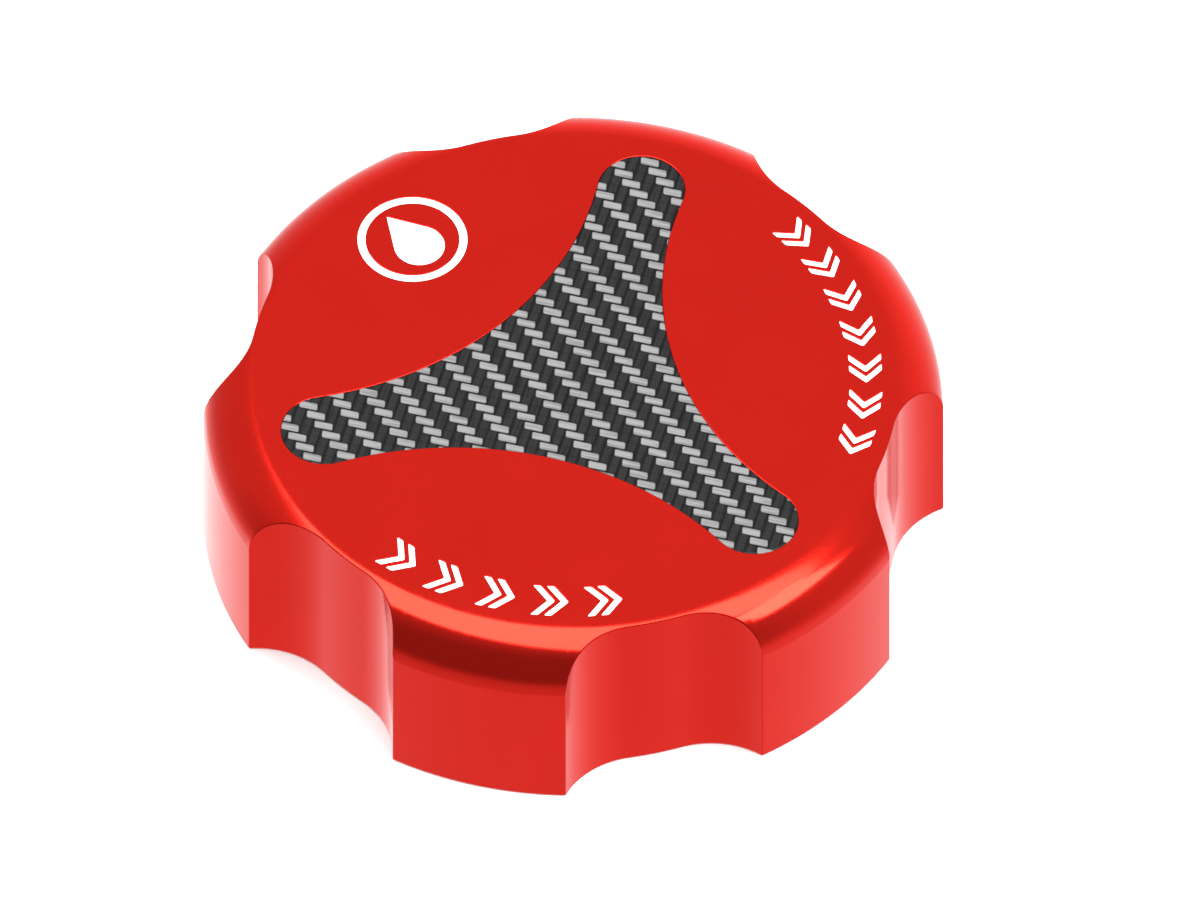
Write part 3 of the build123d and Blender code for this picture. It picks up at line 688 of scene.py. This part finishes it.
def acetal():
    """Machined black acetal."""
    m = Material("acetal", (0.03, 0.03, 0.032), roughness=0.42)
    m.mottle(
        (0.025, 0.025, 0.027), (0.040, 0.040, 0.043), patch=2.0, roughness=0.42, spread=0.06, grain=0.2
    )
    m.bump(m.noise(0.12, detail=3.0), distance=0.003)
    return m.made


def nitrile():
    """Moulded black rubber with a fine matt grain and a little dust."""
    m = Material("nitrile", (0.028, 0.028, 0.030), roughness=0.6)
    m.mottle(
        (0.022, 0.022, 0.024), (0.045, 0.044, 0.043), patch=1.6, roughness=0.62, spread=0.10, grain=0.3
    )
    m.bump(m.noise(0.10, detail=4.0), distance=0.008)
    m.set("Sheen Weight", 0.15)
    return m.made


def fluoro_rubber():
    """Brown moulded fluorocarbon rubber."""
    m = Material("fluoro_rubber", (0.13, 0.05, 0.035), roughness=0.5)
    m.mottle((0.10, 0.038, 0.026), (0.16, 0.065, 0.045), patch=1.0, roughness=0.5, spread=0.08, grain=0.2)
    m.bump(m.noise(0.09, detail=3.0), distance=0.005)
    return m.made


def ball_steel():
    """A polished bearing ball."""
    m = Material("ball_steel", (0.72, 0.72, 0.73), metallic=1.0)
    m.mottle((0.70, 0.70, 0.71), (0.76, 0.76, 0.77), patch=1.0, roughness=0.08, spread=0.02, grain=0.1)
    m.bump(m.noise(0.05, detail=5.0), distance=0.0003)
    return m.made


def floor_paper():
    """Matt white paper. It shows nothing from behind, so that the underside can be looked at."""
    m = Material("floor_paper", (0.88, 0.88, 0.88), roughness=0.9)
    m.mottle((0.86, 0.86, 0.86), (0.90, 0.90, 0.90), patch=60.0, roughness=0.9, spread=0.05, grain=5.0)
    behind = m.node("ShaderNodeNewGeometry", {}).outputs["Backfacing"]
    clear = m.node("ShaderNodeBsdfTransparent", {}).outputs[0]
    mixed = m.node("ShaderNodeMixShader", {0: behind, 1: m.shader.outputs[0], 2: clear}).outputs[0]
    m.tree.links.new(mixed, m.tree.nodes["Material Output"].inputs["Surface"])
    return m.made


MATERIALS = {
    "red_anodised": red_anodised(),
    "carbon_fibre": carbon_twill(),
    "bond_film": bond_film(),
    "white_enamel": white_enamel(),
    "zinc_steel": zinc_steel(),
    "stainless": stainless(),
    "spring_steel": spring_steel(),
    "bronze": bronze(),
    "acetal": acetal(),
    "nitrile": nitrile(),
    "fluoro_rubber": fluoro_rubber(),
    "ball_steel": ball_steel(),
}


def dress_cad_nodes():
    """Gives each CAD node the material of its slot in the record."""
    for part in frame["record"]["subparts"]:
        node = frame["nodes"][part["node"]]
        for slot in node.material_slots:
            slot.material = MATERIALS[part["material_slot"]]


# ------------------------------------------------------------------ the cap's body
def fillet_height(radius):
    """The height of the cap's top surface at this radius: flat, then the round edge."""
    flat_radius = CAP_RADIUS - TOP_FILLET
    out = min(max(radius - flat_radius, 0.0), TOP_FILLET)
    return CAP_HEIGHT - TOP_FILLET + sqrt(TOP_FILLET**2 - out**2)


def cap_outside(builder):
    """The round edge and the scalloped wall. Returns the rings that bound the top and the rim."""
    outline = scalloped_outline()
    reach = [hypot(*point) for point in outline]
    ways = [(x / r, y / r) for (x, y), r in zip(outline, reach)]
    flat_radius = CAP_RADIUS - TOP_FILLET
    rings = []
    for k in range(FILLET_ROWS + 1):
        radii = []
        for r in reach:
            last = asin(min((r - EDGE - flat_radius) / TOP_FILLET, 1.0))
            radii.append(flat_radius + TOP_FILLET * sin(last * k / FILLET_ROWS))
        loop = [(x * r, y * r) for (x, y), r in zip(ways, radii)]
        rings.append(builder.ring(loop, [fillet_height(r) for r in radii]))
    for t in EDGE_STEPS:
        radii = [r - EDGE * (1 - t) ** 2 for r in reach]
        loop = [(x * r, y * r) for (x, y), r in zip(ways, radii)]
        levels = [
            fillet_height(r - EDGE) * (1 - t) ** 2 + fillet_height(r) * (1 - (1 - t) ** 2) - EDGE * t**2
            for r in reach
        ]
        rings.append(builder.ring(loop, levels))
    middle = ROUNDING * RIM_CHAMFER
    for step_in, z in ((0.0, RIM_CHAMFER), (middle, middle), (RIM_CHAMFER, 0.0)):
        loop = [(x * (r - step_in), y * (r - step_in)) for (x, y), r in zip(ways, reach)]
        rings.append(builder.ring(loop, z))
    for high, low in zip(rings, rings[1:]):
        builder.strip(high, low)
    return rings[0], rings[-1]


def cap_top(builder, edge_ring):
    """The flat top with the inlay's pocket and the recesses of the marks."""
    ring, inside, drop, chevrons = mark_shapes()

    def recess(loop, bottom, lip):
        """The wall of a recess, from the flat band round its lip down to its floor."""
        band = lip + copysign(LIP_BAND, lip)
        steps = [(band, CAP_HEIGHT), (lip, CAP_HEIGHT)]
        steps += [(lip * ROUNDING, CAP_HEIGHT - abs(lip) * ROUNDING), (0.0, CAP_HEIGHT - abs(lip))]
        return builder.wall(loop, steps + [(0.0, bottom)])

    pocket = grown(inlay_outline(), INLAY_GAP)
    pocket_lip, pocket_base = recess(pocket, POCKET_FLOOR, POCKET_LIP)
    builder.fill(pocket_base)
    lips = [pocket_lip]
    for loop in chevrons:
        lip, base = recess(loop, MARK_FLOOR, MARK_LIP)
        builder.fill(base)
        lips.append(lip)
    ring_lip, ring_base = recess(ring, MARK_FLOOR, MARK_LIP)
    inside_lip, inside_base = recess(inside, MARK_FLOOR, -MARK_LIP)
    builder.fill(ring_base, inside_base)
    drop_lip, drop_base = recess(drop, MARK_FLOOR, MARK_LIP)
    builder.fill(drop_base)
    builder.fill(inside_lip, drop_lip)
    builder.fill(edge_ring, *lips, ring_lip)


def groove_depth(angle, z):
    """How deep the thread is cut at this angle in degrees and this height."""
    phase = (z - THREAD_PITCH * angle / 360 + THREAD_PITCH / 2) % THREAD_PITCH
    distance = abs(phase - THREAD_PITCH / 2)
    flank = (THREAD_GROOVE_MOUTH - THREAD_GROOVE_ROOT) / 2
    return THREAD_DEPTH * min(max((THREAD_GROOVE_MOUTH / 2 - distance) / flank, 0.0), 1.0)


def thread_rows():
    """Heights across one turn of the thread, closest together where its shape changes."""
    mouth, root = THREAD_GROOVE_MOUTH / 2, THREAD_GROOVE_ROOT / 2
    near = THREAD_ROW_SHARE
    half = [0.0, root * (1 - near), root]
    half += [root + (mouth - root) * near, root + (mouth - root) * (1 - near), mouth]
    half += [mouth * THREAD_PAST_MOUTH, (mouth + THREAD_PITCH / 2) / 2]
    return sorted([-h for h in half[1:]] + half + [THREAD_PITCH / 2])


def bore_radius(angle, z):
    """The radius of the threaded bore, with its lead-in below and the chamber's shoulder above."""
    shoulder = (CHAMBER_RADIUS - THREAD_CREST_RADIUS) / CHAMBER_CORNER
    plain = THREAD_CREST_RADIUS + max(LEAD_IN - z, 0.0) + max(z - THREAD_TOP, 0.0) * shoulder
    return max(plain, THREAD_CREST_RADIUS + groove_depth(angle, z))


def cap_thread(builder):
    """The thread from the rim up to the chamber. Returns its lowest and its highest ring.

    The rows follow the helix and stop at each band's ends. The last column lies on the first one.
    """
    angles = [360 * k / ROUND_COLUMNS for k in range(ROUND_COLUMNS + 1)]
    limits = (CAP_BOTTOM, LEAD_IN, THREAD_TOP, THREAD_TOP + CHAMBER_CORNER)
    ends = []
    for low, high in zip(limits, limits[1:]):
        turns = range(floor(low / THREAD_PITCH) - 2, ceil(high / THREAD_PITCH) + 2)
        rings = []
        for row in [n * THREAD_PITCH + offset for n in turns for offset in thread_rows()]:
            levels = [min(max(row + THREAD_PITCH * angle / 360, low), high) for angle in angles]
            loop = [polar(bore_radius(angle, z), angle) for angle, z in zip(angles, levels)]
            rings.append(builder.ring(loop, levels))
        for lower, upper in zip(rings, rings[1:]):
            for k in range(1, len(lower)):
                builder.face((lower[k - 1], lower[k], upper[k], upper[k - 1]))
        ends.append((rings[0][:-1], rings[-1][:-1]))
    return ends[0][0], ends[-1][1]


def cap_chamber(builder, thread_ring):
    """The chamber round the seal plate's spring, the boss with its screw holes, and the socket."""
    wall = [
        (CHAMBER_RADIUS, THREAD_TOP + CHAMBER_CORNER),
        (CHAMBER_RADIUS, CHAMBER_TOP - CHAMBER_CORNER),
        (CHAMBER_RADIUS - CHAMBER_CORNER, CHAMBER_TOP),
        (BOSS_RADIUS, CHAMBER_TOP),
        (BOSS_RADIUS, BOSS_BOTTOM + EDGE),
        (BOSS_RADIUS - EDGE, BOSS_BOTTOM),
    ]
    socket = [
        (SOCKET_RADIUS + EDGE, BOSS_BOTTOM),
        (SOCKET_RADIUS, BOSS_BOTTOM + EDGE),
        (SOCKET_RADIUS, SOCKET_TOP),
    ]
    chamber = turned(builder, wall, ROUND_COLUMNS)
    builder.strip(thread_ring, chamber[0])
    inner = turned(builder, socket, ROUND_COLUMNS)
    builder.fill(inner[-1])
    hole_rings = []
    for point in SCREW_POINTS:
        profile = [(FINE_EDGE, BOSS_BOTTOM), (0.0, BOSS_BOTTOM + FINE_EDGE), (0.0, SCREW_HOLE_TOP)]
        mouth, end = builder.wall(circle(SCREW_RADIUS, 32, point), profile)
        builder.fill(end)
        hole_rings.append(mouth)
    builder.fill(chamber[-1], inner[0], *hole_rings)


def make_cap_body():
    """The whole aluminium body: dyed smooth outside, and dyed over the turning marks inside."""
    builder = Builder()
    top_ring, rim_ring = cap_outside(builder)
    cap_top(builder, top_ring)
    builder.kind = 1
    mouth_ring, thread_ring = cap_thread(builder)
    cap_chamber(builder, thread_ring)
    builder.fill(rim_ring, mouth_ring)
    finishes = [MATERIALS["red_anodised"], red_turned()]
    builder.piece("cap_shell", "cap", "red_anodised", finishes, "cap_body")


# ------------------------------------------------------------------ inlay and marks
def plate(builder, outer, holes, low, high, edge):
    """A flat plate between two heights, with rounded edges and with holes through it."""
    profile = [(-edge, low), (0.0, low + edge), (0.0, high - edge)]
    profile += [(-edge * ROUNDING, high - edge * ROUNDING), (-edge, high)]
    walls = [builder.wall(outer, profile)]
    walls += [builder.wall(hole, [(-amount, z) for amount, z in profile]) for hole in holes]
    builder.fill(*[wall[0] for wall in walls])
    builder.fill(*[wall[1] for wall in walls])


def make_inlay():
    """The carbon-fibre plate, a hair smaller than its pocket."""
    builder = Builder()
    plate(builder, inlay_outline(), [], INLAY_BOTTOM, INLAY_TOP, FINE_EDGE)
    builder.piece("twill_inlay", "cap", "carbon_fibre", [MATERIALS["carbon_fibre"]], "carbon_inlay")


def make_enamel():
    """The white fill of every mark, just below the top so that its lips stay visible."""
    builder = Builder()
    ring, inside, drop, chevrons = mark_shapes()
    top = MARK_TOP - ENAMEL_SINK
    plate(builder, ring, [inside], MARK_FLOOR, top, ENAMEL_SINK)
    for loop in [drop] + chevrons:
        plate(builder, loop, [], MARK_FLOOR, top, ENAMEL_SINK)
    builder.piece("enamel_marks", "cap", "white_enamel", [MATERIALS["white_enamel"]], "marking_enamel")


# ------------------------------------------------------------------ seal plate, gasket and cover
def make_seal_plate():
    """The pressed plate: a hub with the O-ring's groove, a web, and two lips that hold the gasket."""
    builder = Builder()
    web = PLATE_TOP - PLATE_WEB
    lip = web - PLATE_LIP_DEPTH
    groove_top = HUB_SEAL_HEIGHT + HUB_GROOVE_WIDTH / 2
    groove_bottom = HUB_SEAL_HEIGHT - HUB_GROOVE_WIDTH / 2
    profile = [
        (PLATE_BORE, PLATE_BOTTOM),
        (HUB_RADIUS, PLATE_BOTTOM),
        (HUB_RADIUS, web),
        (GASKET_INNER - PLATE_LIP_WIDTH, web),
        (GASKET_INNER - PLATE_LIP_WIDTH, lip),
        (GASKET_INNER, lip),
        (GASKET_INNER, web),
        (GASKET_OUTER, web),
        (GASKET_OUTER, lip),
        (PLATE_RADIUS, lip),
        (PLATE_RADIUS, PLATE_TOP),
        (PLATE_BORE, PLATE_TOP),
        (PLATE_BORE, groove_top),
        (PLATE_BORE + HUB_GROOVE_DEPTH, groove_top),
        (PLATE_BORE + HUB_GROOVE_DEPTH, groove_bottom),
        (PLATE_BORE, groove_bottom),
    ]
    lathe(builder, profile, PRESS_BEND)
    finishes = [MATERIALS["zinc_steel"]]
    builder.piece("pressed_seal_plate", "seal_assembly", "zinc_steel", finishes, "seal_plate")


def make_neck_gasket():
    """The gasket, with two round sealing beads moulded on its face."""
    builder = Builder()
    base = GASKET_BOTTOM + BEAD_HEIGHT
    middle = (GASKET_INNER + GASKET_OUTER) / 2
    face = []
    for centre in (middle + BEAD_OFFSET, middle - BEAD_OFFSET):
        for k in range(BEAD_STEPS + 1):
            swing = pi * k / BEAD_STEPS
            face.append((centre + BEAD_HALF_WIDTH * cos(swing), base - BEAD_HEIGHT * sin(swing)))
    corner = base + GASKET_CORNER
    profile = [(GASKET_INNER, corner), (GASKET_INNER, GASKET_TOP), (GASKET_OUTER, GASKET_TOP)]
    profile += [(GASKET_OUTER, corner), (GASKET_OUTER - GASKET_CORNER, base)] + face
    profile.append((GASKET_INNER + GASKET_CORNER, base))
    lathe(builder, profile, FINE_EDGE)
    builder.piece("beaded_gasket", "seal_assembly", "nitrile", [MATERIALS["nitrile"]], "neck_gasket")


def make_valve_cover():
    """The stainless cover, with countersunk screw holes and the inlets under the rollover ball."""
    builder = Builder()
    curve = ((1.0, 0.0), (2 / 3, 2 / 15), (2 / 15, 2 / 3), (0.0, 1.0))
    rim = [(-inward * COVER_ROUND, COVER_BOTTOM + up * COVER_ROUND) for inward, up in curve]
    rim += [(0.0, COVER_TOP - FINE_EDGE), (-FINE_EDGE, COVER_TOP)]
    walls = [builder.wall(circle(COVER_RADIUS, COVER_COLUMNS), rim)]
    sink = SCREW_HEAD_RADIUS - SCREW_RADIUS
    countersink = [
        (sink + FINE_EDGE, COVER_BOTTOM),
        (sink, COVER_BOTTOM + FINE_EDGE),
        (sink, COVER_BOTTOM + SCREW_HEAD_RIM),
        (0.0, COVER_BOTTOM + SCREW_HEAD_RIM + sink),
    ]
    for point in SCREW_POINTS:
        walls.append(builder.wall(circle(SCREW_RADIUS, 48, point), countersink))
    inlet = [(out, COVER_BOTTOM + up) for out, up in INLET_LIP] + [(0.0, COVER_TOP)]
    ball = polar(POCKET_CIRCLE, BALL_ANGLE)
    for point in circle(INLET_CIRCLE, INLETS, ball, BALL_ANGLE):
        walls.append(builder.wall(circle(INLET_RADIUS, 32, point), inlet))
    builder.fill(*[wall[0] for wall in walls])
    builder.fill(*[wall[1] for wall in walls])
    builder.piece("turned_cover", "cap", "stainless", [MATERIALS["stainless"]], "valve_cover")


def make_cover_screws():
    """Countersunk screws with hexagon sockets."""
    builder = Builder()
    shank = SCREW_RADIUS - SCREW_SLACK
    head = SCREW_HEAD_RADIUS - SCREW_SLACK
    cone = COVER_BOTTOM + SCREW_HEAD_RIM
    profile = [
        (head - shank - FINE_EDGE, COVER_BOTTOM),
        (head - shank, COVER_BOTTOM + FINE_EDGE),
        (head - shank, cone),
        (0.0, cone + head - shank),
        (0.0, SCREW_TOP - SCREW_TIP),
        (-SCREW_TIP, SCREW_TOP),
    ]
    socket = [
        (HEX_LIP, COVER_BOTTOM),
        (0.0, COVER_BOTTOM + HEX_LIP),
        (0.0, COVER_BOTTOM + HEX_DEPTH),
    ]
    for point in SCREW_POINTS:
        face, tip = builder.wall(circle(shank, 64, point), profile)
        hexagon = soften(circle(HEX_CIRCUMRADIUS, 6, point), HEX_CORNER)
        mouth, bottom = builder.wall(hexagon, socket)
        builder.fill(face, mouth)
        builder.fill(bottom)
        builder.fill(tip)
    builder.piece("socket_screws", "cap", "stainless", [MATERIALS["stainless"]], "cover_screws")


dress_cad_nodes()
make_cap_body()
make_inlay()
make_enamel()
make_seal_plate()
make_neck_gasket()
make_valve_cover()
make_cover_screws()


# ------------------------------------------------------------------ stage, camera and light
# The camera's frame and target are counted in outer radii of the cap, and its distance in metres.
AZIMUTH = radians(15.25)
ELEVATION = radians(50.07)
FRAME_WIDTH = 3.2424
TARGET = (0.0112, 0.2312, 0.0)
CAMERA_DISTANCE = 0.4
TOWARDS_CAMERA = Vector((sin(AZIMUTH), -cos(AZIMUTH), 0.0))
TO_THE_RIGHT = Vector((cos(AZIMUTH), sin(AZIMUTH), 0.0))
UP = Vector((0.0, 0.0, 1.0))

# The floor's half side, in millimetres like the shapes.
FLOOR_HALF_SIZE = 1500.0

# The lights' distance is in metres, and their places and sizes are counted in that distance.
LIGHT_DISTANCE = 1.5
OVERHEAD_FORWARD = -0.058
OVERHEAD_RIGHT = 0.019
OVERHEAD_SIZE = (1.05, 0.835)
OVERHEAD_ANGLE = radians(53.13)
OVERHEAD_RADIANCE = 8.0
SIDE_AZIMUTH = radians(72)
SIDE_ELEVATION = radians(49)
SIDE_SIZE = (0.4, 0.4)
SIDE_RADIANCE = 12.0

# The room's dimmest side, measured from the camera towards the left. The levels go from the side
# across from it, at 0, to the dimmest side, at 1. The ground fades in between two heights.
DIM_SIDE = radians(20)
ROOM_LEVELS = ((0.0, 1.4), (0.2, 0.84), (0.5, 0.82), (0.65, 0.6), (0.85, 0.37), (1.0, 0.35))
GROUND_LEVELS = ((0.0, 1.3), (0.35, 1.28), (0.85, 0.98), (1.0, 0.95))
GROUND_FULL = -0.75
GROUND_STARTS = -0.15
BACKDROP = (0.93, 0.93, 0.94, 1.0)


def make_floor():
    """A large flat sheet of paper under the cap, which only the camera sees."""
    half = FLOOR_HALF_SIZE
    builder = Builder()
    corners = [(-half, -half), (half, -half), (half, half), (-half, half)]
    builder.face(tuple(builder.ring(corners, 0.0)))
    mesh = bpy.data.meshes.new("floor")
    mesh.from_pydata([Vector(p) * MM for p in builder.points], [], builder.faces)
    mesh.materials.append(floor_paper())
    sheet = bpy.data.objects.new("floor", mesh)
    bpy.context.scene.collection.objects.link(sheet)
    for ray in ("diffuse", "glossy", "transmission", "shadow"):
        setattr(sheet, "visible_" + ray, False)


def make_camera():
    """A camera with parallel rays, at the photograph's angle."""
    back = TOWARDS_CAMERA * cos(ELEVATION) + UP * sin(ELEVATION)
    lens = bpy.data.cameras.new("camera")
    lens.type = "ORTHO"
    lens.ortho_scale = FRAME_WIDTH * CAP_RADIUS * MM
    lens.clip_start, lens.clip_end = 0.001, 10.0
    camera = bpy.data.objects.new("camera", lens)
    camera.location = Vector(TARGET) * CAP_RADIUS * MM + back * CAMERA_DISTANCE
    camera.rotation_mode = "QUATERNION"
    camera.rotation_quaternion = (-back).to_track_quat("-Z", "Y")
    bpy.context.scene.collection.objects.link(camera)
    bpy.context.scene.camera = camera


def make_softbox(name, place, facing, along, size, radiance):
    """A rectangular light with its first side along one direction. The camera doesn't see it."""
    light = bpy.data.lights.new(name, "AREA")
    light.shape = "RECTANGLE"
    light.size, light.size_y = size
    light.energy = radiance * pi * size[0] * size[1]
    box = bpy.data.objects.new(name, light)
    box.location = place
    side = (along - facing * along.dot(facing)).normalized()
    box.rotation_mode = "QUATERNION"
    box.rotation_quaternion = Matrix((side, facing.cross(side), facing)).transposed().to_quaternion()
    box.visible_camera = False
    bpy.context.scene.collection.objects.link(box)


def make_lights():
    """A wide softbox overhead, turned to the camera's right, and a small bright one on the right."""
    place = TOWARDS_CAMERA * OVERHEAD_FORWARD + TO_THE_RIGHT * OVERHEAD_RIGHT + UP
    along = TOWARDS_CAMERA * cos(OVERHEAD_ANGLE) + TO_THE_RIGHT * sin(OVERHEAD_ANGLE)
    size = [side * LIGHT_DISTANCE for side in OVERHEAD_SIZE]
    make_softbox("overhead", place * LIGHT_DISTANCE, UP, along, size, OVERHEAD_RADIANCE)
    level = TOWARDS_CAMERA * cos(SIDE_AZIMUTH) + TO_THE_RIGHT * sin(SIDE_AZIMUTH)
    facing = level * cos(SIDE_ELEVATION) + UP * sin(SIDE_ELEVATION)
    size = [side * LIGHT_DISTANCE for side in SIDE_SIZE]
    make_softbox("side", facing * LIGHT_DISTANCE, facing, UP, size, SIDE_RADIANCE)


def make_world():
    """The room: dim at the front left, bright behind, pale ground, and a backdrop for the camera."""
    world = bpy.data.worlds.new("studio")
    bpy.context.scene.world = world
    world.use_nodes = True
    tree = world.node_tree

    def node(kind, inputs, **settings):
        """Adds a node whose inputs are values or other nodes' outputs."""
        made = tree.nodes.new(kind)
        for key, value in settings.items():
            setattr(made, key, value)
        for key, value in inputs.items():
            if isinstance(value, bpy.types.NodeSocket):
                tree.links.new(value, made.inputs[key])
            else:
                made.inputs[key].default_value = value
        return made

    def ramp(place, stops):
        """Grey levels at these stops, blended between them."""
        made = node("ShaderNodeValToRGB", {0: place})
        elements = made.color_ramp.elements
        while len(elements) < len(stops):
            elements.new(0.5)
        for stop, (position, value) in zip(elements, stops):
            stop.position = position
            stop.color = (value, value, value, 1.0)
        return made.outputs[0]

    direction = tree.nodes.new("ShaderNodeTexCoord").outputs["Generated"]
    dim = TOWARDS_CAMERA * cos(DIM_SIDE) - TO_THE_RIGHT * sin(DIM_SIDE)
    forward = node("ShaderNodeVectorMath", {0: direction, 1: dim}, operation="DOT_PRODUCT")
    level = node("ShaderNodeMapRange", {0: forward.outputs["Value"], 1: -1.0, 2: 1.0}).outputs[0]
    room = ramp(level, ROOM_LEVELS)
    ground = ramp(level, GROUND_LEVELS)
    up = node("ShaderNodeSeparateXYZ", {0: direction}).outputs[2]
    down = node("ShaderNodeMapRange", {0: up, 1: GROUND_FULL, 2: GROUND_STARTS, 3: 1.0, 4: 0.0})
    lit = node("ShaderNodeMix", {0: down.outputs[0], 6: room, 7: ground}, data_type="RGBA")
    seen = tree.nodes.new("ShaderNodeLightPath").outputs["Is Camera Ray"]
    shown = node("ShaderNodeMix", {0: seen, 6: lit.outputs[2], 7: BACKDROP}, data_type="RGBA")
    tree.links.new(shown.outputs[2], tree.nodes["Background"].inputs["Color"])


make_floor()
make_camera()
make_lights()
make_world()
bpy.context.scene.view_settings.view_transform = "Standard"
